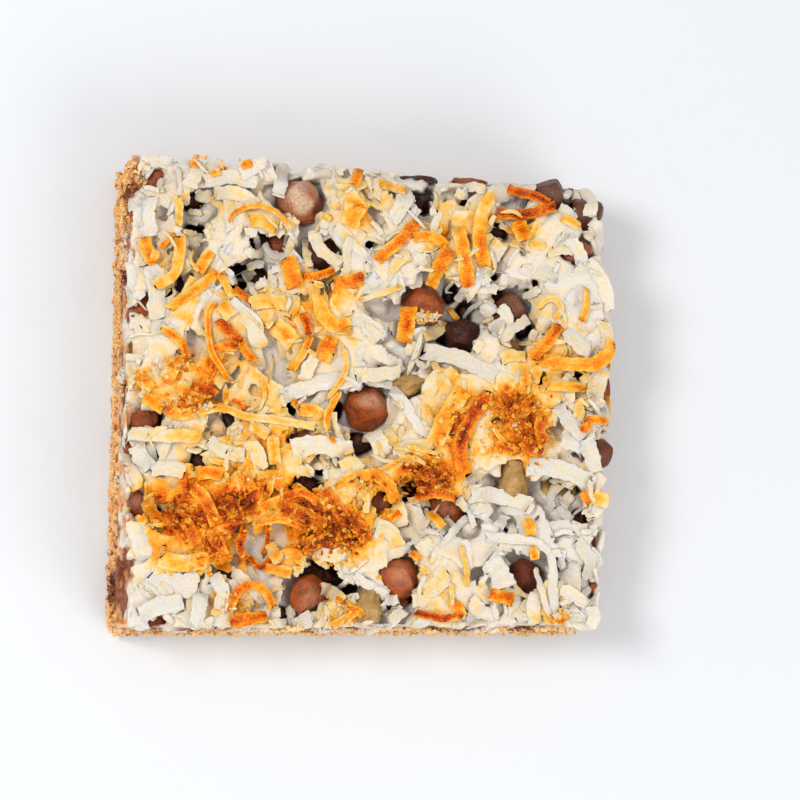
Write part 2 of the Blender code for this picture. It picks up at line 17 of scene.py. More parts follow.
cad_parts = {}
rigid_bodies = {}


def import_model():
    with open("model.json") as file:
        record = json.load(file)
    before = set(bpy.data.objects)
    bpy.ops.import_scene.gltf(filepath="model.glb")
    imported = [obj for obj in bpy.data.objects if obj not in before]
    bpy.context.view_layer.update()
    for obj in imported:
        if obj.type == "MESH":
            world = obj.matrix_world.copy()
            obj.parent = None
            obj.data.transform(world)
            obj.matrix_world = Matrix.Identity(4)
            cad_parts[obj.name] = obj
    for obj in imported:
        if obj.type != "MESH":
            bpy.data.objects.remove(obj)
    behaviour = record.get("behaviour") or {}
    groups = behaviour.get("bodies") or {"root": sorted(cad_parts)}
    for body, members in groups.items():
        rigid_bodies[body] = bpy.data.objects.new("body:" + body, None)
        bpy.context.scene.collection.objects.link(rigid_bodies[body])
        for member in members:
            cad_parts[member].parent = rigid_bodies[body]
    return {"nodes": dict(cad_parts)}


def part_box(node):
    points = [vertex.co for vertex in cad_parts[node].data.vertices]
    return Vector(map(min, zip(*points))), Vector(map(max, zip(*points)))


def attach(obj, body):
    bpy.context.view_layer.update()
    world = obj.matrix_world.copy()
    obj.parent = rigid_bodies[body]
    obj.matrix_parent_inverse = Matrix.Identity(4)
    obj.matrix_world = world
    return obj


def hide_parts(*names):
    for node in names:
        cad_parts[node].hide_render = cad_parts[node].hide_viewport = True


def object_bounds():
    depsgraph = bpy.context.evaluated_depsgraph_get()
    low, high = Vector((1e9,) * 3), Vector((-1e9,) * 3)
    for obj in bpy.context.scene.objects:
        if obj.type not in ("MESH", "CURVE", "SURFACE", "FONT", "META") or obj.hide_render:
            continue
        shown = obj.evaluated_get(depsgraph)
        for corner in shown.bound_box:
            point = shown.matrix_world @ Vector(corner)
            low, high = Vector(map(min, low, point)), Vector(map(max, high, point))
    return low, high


MM = 0.001

# Camera: where it looks, how far it stands off, and how it leans to the left and to the front
AIM = np.array([5.6, -0.6, 23.0])
STAND_OFF = 600.0
LEAN_LEFT = math.tan(math.radians(8.5))
LEAN_FRONT = math.tan(math.radians(3.0))
LENS = 155.4
SENSOR = 36.0
FRAME = 800
TOWARDS_CAMERA = np.array([-LEAN_LEFT, -LEAN_FRONT, 1.0])
CAMERA = AIM + TOWARDS_CAMERA / np.linalg.norm(TOWARDS_CAMERA) * STAND_OFF

# Photograph: pixels to the millimetre at the top of the bar, and that level
SCALE = 5.72
TOP_PLANE = 22.0

# Outline of the bar, as in the solids, and levels of its layers
FRONT_LEFT = np.array([-44.0, -41.6])
FRONT_RIGHT = np.array([42.0, -41.7])
BACK_LEFT = np.array([-42.4, 42.4])
BACK_RIGHT = np.array([42.0, 36.9])
RIGHT_BULGE = 1.6
BASE_TOP = 6.6
FILLING_TOP = 13.4
GAP = 0.3
BED_FLOOR = FILLING_TOP + GAP
BED_INSET = 0.9
HIGHEST = 24.0
SINK = 2.6
FILM_RAISED = 1.5

# How far the coconut keeps in from each side, as a share: along the left and right sides, front and back
LEFT_SHARE = ([-42.0, -26.0, -10.0, 10.0, 42.0], [3.6, 3.2, 1.7, 1.9, 2.2])
RIGHT_SHARE = ([-42.0, -26.0, -6.0, 42.0], [1.3, 0.8, -0.5, -0.5])
FRONT_SHARE = 2.2
BACK_SHARE = -0.5

# Levels up to which the bed's left, right, front and back sides are baked crumb
WALL_LEVELS = (21.0, 16.6, 20.0, 16.0)

# Grid of heights over the bar
CELL = 0.25
GRID_X = np.arange(-46.0, 46.0 + CELL, CELL)
GRID_Y = np.arange(-44.0, 44.0 + CELL, CELL)

# Crests: the level over which they are pressed down, and the share that is kept of what stands over it
BED_CREST = (23.4, 0.4)
SHRED_CREST = (23.6, 0.35)

# Fineness of the bed and of the layers under it
BED_VOXEL = 0.36
BED_FACES = 190000
LAYER_VOXEL = 0.6

# Browned places: middle, reach across and up in pixels, and how brown
BROWNED = [
    (176, 516, 18, 16, 0.43), (232, 508, 24, 20, 0.47), (205, 512, 46, 30, 0.32),
    (262, 498, 34, 18, 0.36), (315, 530, 40, 30, 0.47), (330, 505, 24, 20, 0.32),
    (340, 545, 20, 16, 0.36), (178, 545, 30, 26, 0.28), (225, 548, 24, 24, 0.32),
    (262, 562, 20, 14, 0.32), (155, 508, 24, 20, 0.26), (185, 482, 36, 16, 0.25),
    (245, 478, 30, 16, 0.16), (300, 500, 24, 14, 0.28), (190, 397, 28, 16, 0.28),
    (155, 388, 26, 20, 0.13), (176, 368, 26, 18, 0.14), (222, 366, 30, 20, 0.14),
    (235, 348, 18, 14, 0.12), (140, 378, 14, 14, 0.10), (520, 428, 30, 36, 0.44),
    (515, 400, 24, 16, 0.28), (430, 476, 32, 18, 0.50), (372, 486, 22, 18, 0.25),
    (360, 530, 18, 16, 0.36), (455, 415, 26, 34, 0.26), (240, 602, 24, 18, 0.18),
    (350, 215, 18, 16, 0.26), (205, 262, 14, 14, 0.11), (172, 270, 16, 20, 0.12),
    (452, 250, 26, 26, 0.18), (520, 228, 24, 18, 0.20), (250, 158, 14, 6, 0.28),
    (338, 612, 24, 18, 0.22), (552, 616, 16, 10, 0.26), (320, 300, 22, 26, 0.18),
]

# Straw haze over the pale coconut: middle, reach across and up, strength
HAZED = [
    (200, 300, 100, 60, 0.10), (270, 350, 90, 60, 0.10), (230, 410, 110, 50, 0.11),
    (220, 510, 130, 70, 0.18), (330, 300, 60, 50, 0.16), (350, 210, 50, 40, 0.19),
    (470, 240, 70, 50, 0.16), (440, 420, 60, 60, 0.18), (420, 480, 60, 40, 0.18),
    (540, 340, 60, 50, 0.13), (560, 380, 50, 40, 0.14), (440, 590, 60, 50, 0.13),
    (250, 200, 60, 40, 0.11), (180, 210, 50, 50, 0.10), (360, 520, 60, 50, 0.14),
    (550, 430, 60, 60, 0.11), (590, 490, 40, 40, 0.11), (300, 440, 80, 30, 0.16),
    (570, 230, 50, 30, 0.06), (250, 600, 60, 30, 0.11), (530, 600, 60, 30, 0.08),
]

# Places where the milk has run the coconut together: middle, reach, share of loose shreds left out
MATTED = [
    (545, 472, 44, 16, 0.8), (552, 514, 34, 16, 0.9), (488, 512, 30, 14, 0.8), (512, 560, 30, 22, 0.8),
    (560, 560, 26, 30, 0.6), (440, 545, 30, 20, 0.6), (400, 372, 34, 20, 0.6), (440, 352, 34, 14, 0.7),
    (500, 350, 26, 20, 0.7), (570, 250, 26, 16, 0.8), (525, 268, 26, 18, 0.9), (500, 300, 26, 20, 0.7),
    (560, 300, 24, 24, 0.8), (440, 205, 30, 20, 0.8), (500, 195, 20, 16, 0.7), (400, 215, 20, 22, 0.7),
    (276, 190, 18, 20, 0.9), (345, 210, 28, 26, 0.8), (150, 225, 14, 30, 0.8), (190, 180, 40, 16, 0.5),
    (250, 335, 40, 26, 0.8), (290, 310, 30, 20, 0.7), (370, 310, 24, 16, 0.8), (225, 440, 34, 20, 0.7),
    (180, 460, 34, 14, 0.6), (170, 590, 34, 20, 0.6), (215, 590, 16, 16, 0.7), (250, 540, 40, 40, 0.9),
    (200, 510, 60, 40, 0.9), (325, 525, 44, 34, 0.9), (520, 425, 36, 40, 0.9), (470, 420, 30, 46, 0.9),
    (430, 476, 36, 20, 0.8), (560, 455, 30, 16, 0.6), (590, 460, 16, 30, 0.5), (420, 610, 40, 12, 0.4),
    (180, 390, 44, 30, 0.8), (150, 330, 20, 30, 0.5), (600, 540, 12, 50, 0.8), (335, 450, 30, 10, 0.5),
    (585, 575, 24, 40, 0.8), (545, 600, 40, 20, 0.6), (480, 575, 26, 30, 0.7), (590, 250, 16, 30, 0.6),
    (520, 300, 40, 30, 0.6), (415, 260, 24, 20, 0.5), (145, 240, 16, 60, 0.9), (300, 455, 50, 20, 0.6),
    (530, 545, 50, 30, 0.7),
]

# Marks on the cut sides as the photograph shows them: middle, reach across and up in pixels
MELTED = [
    (129, 187, 10, 9), (126, 274, 5, 6), (128, 290, 6, 7), (136, 309, 9, 12), (135, 349, 8, 8),
    (123, 359, 4, 5), (131, 392, 7, 8), (136, 409, 8, 6), (118, 432, 2, 14), (131, 449, 5, 9),
    (112, 512, 5, 4), (112, 524, 7, 9), (142, 500, 8, 10), (121, 566, 15, 11), (117, 590, 11, 16),
    (128, 610, 8, 8), (151, 621, 12, 5), (125, 631, 5, 3), (192, 630, 7, 4), (222, 627, 9, 2),
    (300, 629, 14, 2), (352, 627, 9, 2), (406, 621, 12, 4), (447, 629, 16, 2), (519, 625, 12, 4),
    (545, 632, 17, 2), (597, 543, 8, 12), (599, 590, 7, 22), (606, 452, 6, 12),
]
MILKED = [
    (124, 328, 7, 9), (119, 372, 6, 7), (113, 415, 5, 9), (124, 438, 5, 12), (119, 458, 5, 9),
    (126, 480, 6, 8), (125, 512, 7, 8), (124, 540, 11, 9), (110, 552, 5, 7), (137, 588, 6, 12),
    (122, 232, 4, 9), (126, 255, 4, 8), (170, 628, 12, 4), (250, 629, 26, 3), (330, 628, 16, 3),
    (378, 628, 18, 3), (480, 630, 22, 3), (585, 630, 14, 5), (604, 520, 5, 12), (604, 566, 5, 8),
    (600, 620, 8, 9), (612, 430, 6, 14), (610, 490, 6, 16),
]

# Openings in the coconut: middle, length, width and heading, what shows in it, and its depth
OPENINGS = [
    (421, 186, 38, 20, 0, "dark", 3.4), (422, 203, 20, 18, 0, "dark", 3.4),
    (439, 218, 18, 8, -45, "film", 1.6), (472, 180, 32, 12, -3, "milk", 1.4),
    (569, 196, 15, 28, 0, "dark", 2.6), (194, 201, 19, 11, 20, "dark", 3.4),
    (197, 228, 15, 5, -10, "gap", 4.2), (205, 216, 20, 12, 30, "film", 2.2),
    (262, 238, 26, 12, 22, "dark", 3.4), (281, 240, 12, 20, 0, "milk", 2.6),
    (239, 270, 17, 11, 0, "gap", 4.2), (258, 274, 19, 11, -20, "dark", 3.6),
    (241, 287, 20, 8, -10, "gap", 4.2), (182, 288, 32, 14, 35, "dark", 3.6),
    (156, 180, 9, 16, -15, "milk", 2.0), (136, 349, 15, 16, 0, "nut", 1.6),
    (132, 399, 13, 24, 0, "dark", 3.0), (146, 418, 34, 15, -15, "milk", 3.0),
    (131, 449, 9, 16, 0, "milk", 2.0), (229, 421, 11, 14, 20, "dark", 3.4),
    (198, 462, 11, 16, 0, "dark", 3.6), (306, 443, 34, 12, -18, "milk", 2.6),
    (359, 443, 19, 19, 0, "dark", 3.8), (300, 482, 38, 12, -12, "dark", 3.2),
    (317, 470, 13, 5, -20, "gap", 3.2), (336, 412, 12, 16, 0, "gap", 4.4),
    (289, 409, 8, 11, 0, "gap", 3.8), (138, 503, 14, 26, 10, "milk", 2.6),
    (151, 513, 22, 14, -35, "dark", 3.4), (121, 552, 18, 7, 0, "gap", 3.4),
    (155, 622, 19, 9, -5, "milk", 1.4), (228, 573, 17, 8, -35, "dark", 2.6),
    (276, 583, 12, 16, 0, "film", 2.4), (279, 614, 18, 13, 0, "dark", 2.6),
    (318, 573, 42, 16, -15, "dark", 3.8), (351, 588, 14, 13, 0, "gap", 4.2),
    (380, 502, 22, 14, 0, "milk", 2.6), (412, 492, 24, 20, 30, "dark", 3.6),
    (446, 509, 48, 17, -20, "milk", 2.8), (441, 541, 8, 15, -20, "gap", 4.0),
    (469, 529, 16, 16, 0, "film", 2.4), (503, 530, 8, 6, 0, "gap", 3.0),
    (578, 518, 10, 14, 0, "dark", 2.6), (598, 544, 14, 22, 0, "milk", 4.0),
    (599, 592, 8, 30, 0, "milk", 4.0), (558, 563, 8, 13, 0, "dark", 3.4),
    (574, 611, 17, 8, -5, "milk", 1.6), (428, 415, 9, 13, 0, "gap", 4.2),
    (399, 603, 27, 8, 20, "milk", 2.2), (489, 486, 26, 12, 10, "film", 2.0),
    (551, 484, 10, 17, 0, "nut", 1.4), (571, 490, 16, 10, 0, "nut", 1.4),
    (552, 511, 22, 13, -20, "film", 2.2), (516, 554, 20, 24, 20, "film", 2.0),
    (453, 293, 12, 15, 0, "gap", 4.6), (452, 333, 27, 17, -10, "gap", 4.8),
    (463, 349, 18, 12, 0, "dark", 3.0), (467, 312, 12, 22, 0, "dark", 2.0),
    (500, 294, 9, 10, 0, "dark", 1.8), (515, 348, 16, 13, 30, "nut", 3.2),
    (535, 286, 13, 8, 0, "dark", 2.8), (581, 289, 7, 24, 0, "gap", 3.4),
    (523, 328, 18, 14, 0, "dark", 3.8), (447, 368, 9, 16, 15, "film", 2.2),
    (425, 355, 12, 6, 0, "gap", 3.4), (367, 243, 6, 11, 10, "gap", 3.2),
    (434, 256, 5, 13, -10, "gap", 3.4), (498, 232, 17, 13, 0, "dark", 2.4),
    (492, 278, 10, 5, 0, "gap", 2.8), (460, 202, 22, 6, 5, "dark", 2.2),
    (603, 390, 8, 13, 0, "milk", 1.6), (578, 377, 15, 5, 0, "gap", 2.8),
    (537, 380, 9, 8, 0, "gap", 2.8), (366, 304, 22, 8, 10, "film", 2.4),
    (270, 541, 34, 26, 0, "film", 3.4), (380, 306, 20, 14, 0, "film", 2.0),
    (389, 344, 16, 16, 0, "film", 2.0), (218, 427, 26, 16, 0, "film", 1.8),
    (193, 582, 20, 12, 30, "film", 2.2), (273, 195, 16, 18, 0, "film", 2.2),
    (407, 533, 20, 16, 0, "film", 1.8), (554, 513, 18, 12, 0, "film", 2.0),
    (196, 243, 14, 22, 0, "film", 2.0), (321, 262, 12, 22, 0, "dark", 3.6),
    (160, 214, 6, 10, 10, "film", 2.0), (318, 292, 22, 16, 30, "film", 2.2),
    (312, 345, 10, 14, 0, "film", 2.2),
]

# Cream shreds that stand out: line in pixels, width, toast at its start and its end, lift
CREAM = [
    ([(205, 160), (198, 172), (190, 187)], 13, 0.05, 0.10, 0.9),
    ([(257, 184), (232, 177), (204, 180)], 15, 0.10, 0.06, 0.8),
    ([(214, 192), (238, 194), (260, 206)], 13, 0.12, 0.16, 0.7),
    ([(310, 236), (308, 250), (309, 268)], 9, 0.18, 0.16, 0.8),
    ([(314, 230), (322, 250), (343, 265)], 12, 0.12, 0.16, 0.9),
    ([(352, 236), (347, 252), (348, 273)], 10, 0.10, 0.14, 0.7),
    ([(284, 316), (288, 305), (291, 293)], 15, 0.28, 0.20, 0.5),
    ([(316, 353), (309, 367), (302, 383)], 13, 0.10, 0.14, 0.9),
    ([(280, 396), (320, 384), (361, 378)], 16, 0.05, 0.06, 0.8),
    ([(355, 316), (369, 327), (381, 340)], 17, 0.06, 0.06, 0.6),
    ([(424, 350), (458, 358), (496, 378)], 17, 0.05, 0.04, 0.9),
    ([(354, 375), (378, 374), (402, 371)], 14, 0.14, 0.08, 0.6),
    ([(391, 388), (408, 410), (424, 438)], 10, 0.00, 0.00, 0.8),
    ([(372, 432), (378, 443), (384, 456)], 18, 0.12, 0.16, 0.6),
    ([(526, 466), (560, 470), (595, 484)], 18, 0.02, 0.02, 0.7),
    ([(468, 494), (500, 496), (532, 505)], 16, 0.06, 0.02, 0.6),
    ([(438, 549), (454, 530), (470, 516)], 8, 0.00, 0.02, 0.8),
    ([(413, 503), (420, 520), (428, 536)], 15, 0.10, 0.06, 0.5),
    ([(550, 528), (570, 526), (588, 530)], 12, 0.00, 0.02, 0.6),
    ([(537, 567), (541, 586), (546, 606), (557, 622)], 6, 0.05, 0.12, 0.7),
    ([(482, 537), (515, 539), (543, 546), (553, 561), (553, 588), (555, 615)], 9, 0.04, 0.02, 1.0),
    ([(289, 449), (320, 445), (354, 452)], 19, 0.08, 0.10, 0.6),
    ([(135, 445), (142, 456), (152, 468)], 17, 0.00, 0.02, 0.5),
    ([(200, 592), (198, 610), (194, 628)], 15, 0.00, 0.00, 1.0),
    ([(146, 578), (172, 586), (200, 582)], 24, 0.02, 0.04, 0.6),
    ([(138, 616), (158, 606), (184, 602)], 18, 0.00, 0.02, 0.8),
    ([(232, 571), (248, 584), (268, 604)], 12, 0.16, 0.10, 0.7),
    ([(587, 261), (600, 280), (612, 312)], 14, 0.10, 0.06, 0.8),
    ([(545, 255), (558, 250), (574, 250)], 11, 0.18, 0.20, 0.7),
    ([(411, 254), (398, 262), (384, 279)], 11, 0.22, 0.28, 0.8),
    ([(452, 320), (440, 330), (425, 335)], 12, 0.26, 0.22, 0.6),
    ([(372, 528), (386, 532), (396, 548)], 20, 0.16, 0.22, 0.7),
    ([(354, 574), (370, 586), (390, 594)], 9, 0.02, 0.04, 0.8),
    ([(128, 196), (140, 206), (146, 226)], 20, 0.02, 0.04, 0.5),
    ([(148, 264), (156, 290), (157, 320)], 18, 0.05, 0.10, 0.4),
    ([(127, 262), (131, 276), (130, 292)], 11, 0.00, 0.02, 0.3),
    ([(584, 186), (592, 200), (588, 218)], 15, 0.02, 0.04, 0.4),
    ([(572, 182), (580, 196), (577, 212)], 8, 0.00, 0.02, 0.5),
    ([(566, 238), (578, 250), (583, 266)], 12, 0.06, 0.10, 0.4),
    ([(590, 220), (600, 232), (606, 250)], 11, 0.04, 0.02, 0.4),
    ([(290, 160), (282, 176), (280, 196)], 14, 0.02, 0.02, 0.3),
    ([(318, 156), (334, 162), (346, 172)], 13, 0.06, 0.08, 0.4),
    ([(268, 160), (256, 166), (240, 176)], 13, 0.02, 0.04, 0.4),
    ([(140, 168), (158, 158), (176, 160)], 14, 0.02, 0.02, 0.7),
    ([(392, 222), (402, 206), (405, 194)], 16, 0.06, 0.08, 0.6),
    ([(490, 330), (508, 322), (500, 306)], 13, 0.06, 0.04, 0.6),
    ([(530, 318), (512, 330), (498, 340)], 12, 0.04, 0.08, 0.5),
    ([(560, 280), (545, 270), (520, 268)], 14, 0.08, 0.06, 0.7),
    ([(566, 330), (578, 345), (590, 350)], 16, 0.05, 0.05, 0.5),
    ([(499, 359), (512, 356), (525, 357)], 11, 0.26, 0.30, 0.6),
    ([(600, 320), (608, 338), (604, 352)], 13, 0.14, 0.20, 0.5),
    ([(560, 440), (580, 446), (598, 462)], 14, 0.02, 0.02, 0.6),
    ([(556, 405), (568, 420), (584, 438)], 15, 0.06, 0.02, 0.6),
    ([(486, 560), (498, 570), (506, 588)], 26, 0.04, 0.08, 0.6),
    ([(576, 540), (590, 560), (592, 580)], 14, 0.02, 0.04, 0.6),
    ([(420, 590), (436, 584), (446, 570)], 16, 0.16, 0.20, 0.6),
    ([(470, 600), (482, 612), (498, 616)], 15, 0.10, 0.06, 0.7),
    ([(560, 590), (575, 596), (588, 606)], 13, 0.04, 0.10, 0.6),
    ([(405, 610), (396, 620), (384, 626)], 12, 0.06, 0.04, 0.6),
    ([(310, 548), (330, 556), (346, 552)], 13, 0.12, 0.10, 0.5),
    ([(322, 588), (334, 592), (342, 602)], 13, 0.14, 0.18, 0.9),
    ([(208, 440), (224, 452), (246, 455)], 14, 0.12, 0.16, 0.4),
    ([(246, 440), (256, 452), (262, 470)], 14, 0.18, 0.24, 0.4),
    ([(150, 470), (170, 468), (186, 472)], 15, 0.06, 0.12, 0.4),
    ([(132, 520), (140, 540), (148, 560)], 18, 0.10, 0.08, 0.4),
    ([(214, 575), (222, 590), (220, 610)], 14, 0.04, 0.06, 0.6),
    ([(392, 450), (412, 446), (434, 444)], 11, 0.16, 0.24, 0.5),
    ([(340, 468), (352, 462), (362, 470)], 12, 0.14, 0.20, 0.5),
    ([(586, 438), (590, 454), (596, 472)], 15, 0.02, 0.02, 0.5),
    ([(590, 606), (594, 616), (590, 628)], 13, 0.02, 0.04, 0.4),
    ([(150, 196), (146, 214), (150, 236)], 17, 0.02, 0.04, 0.4),
]

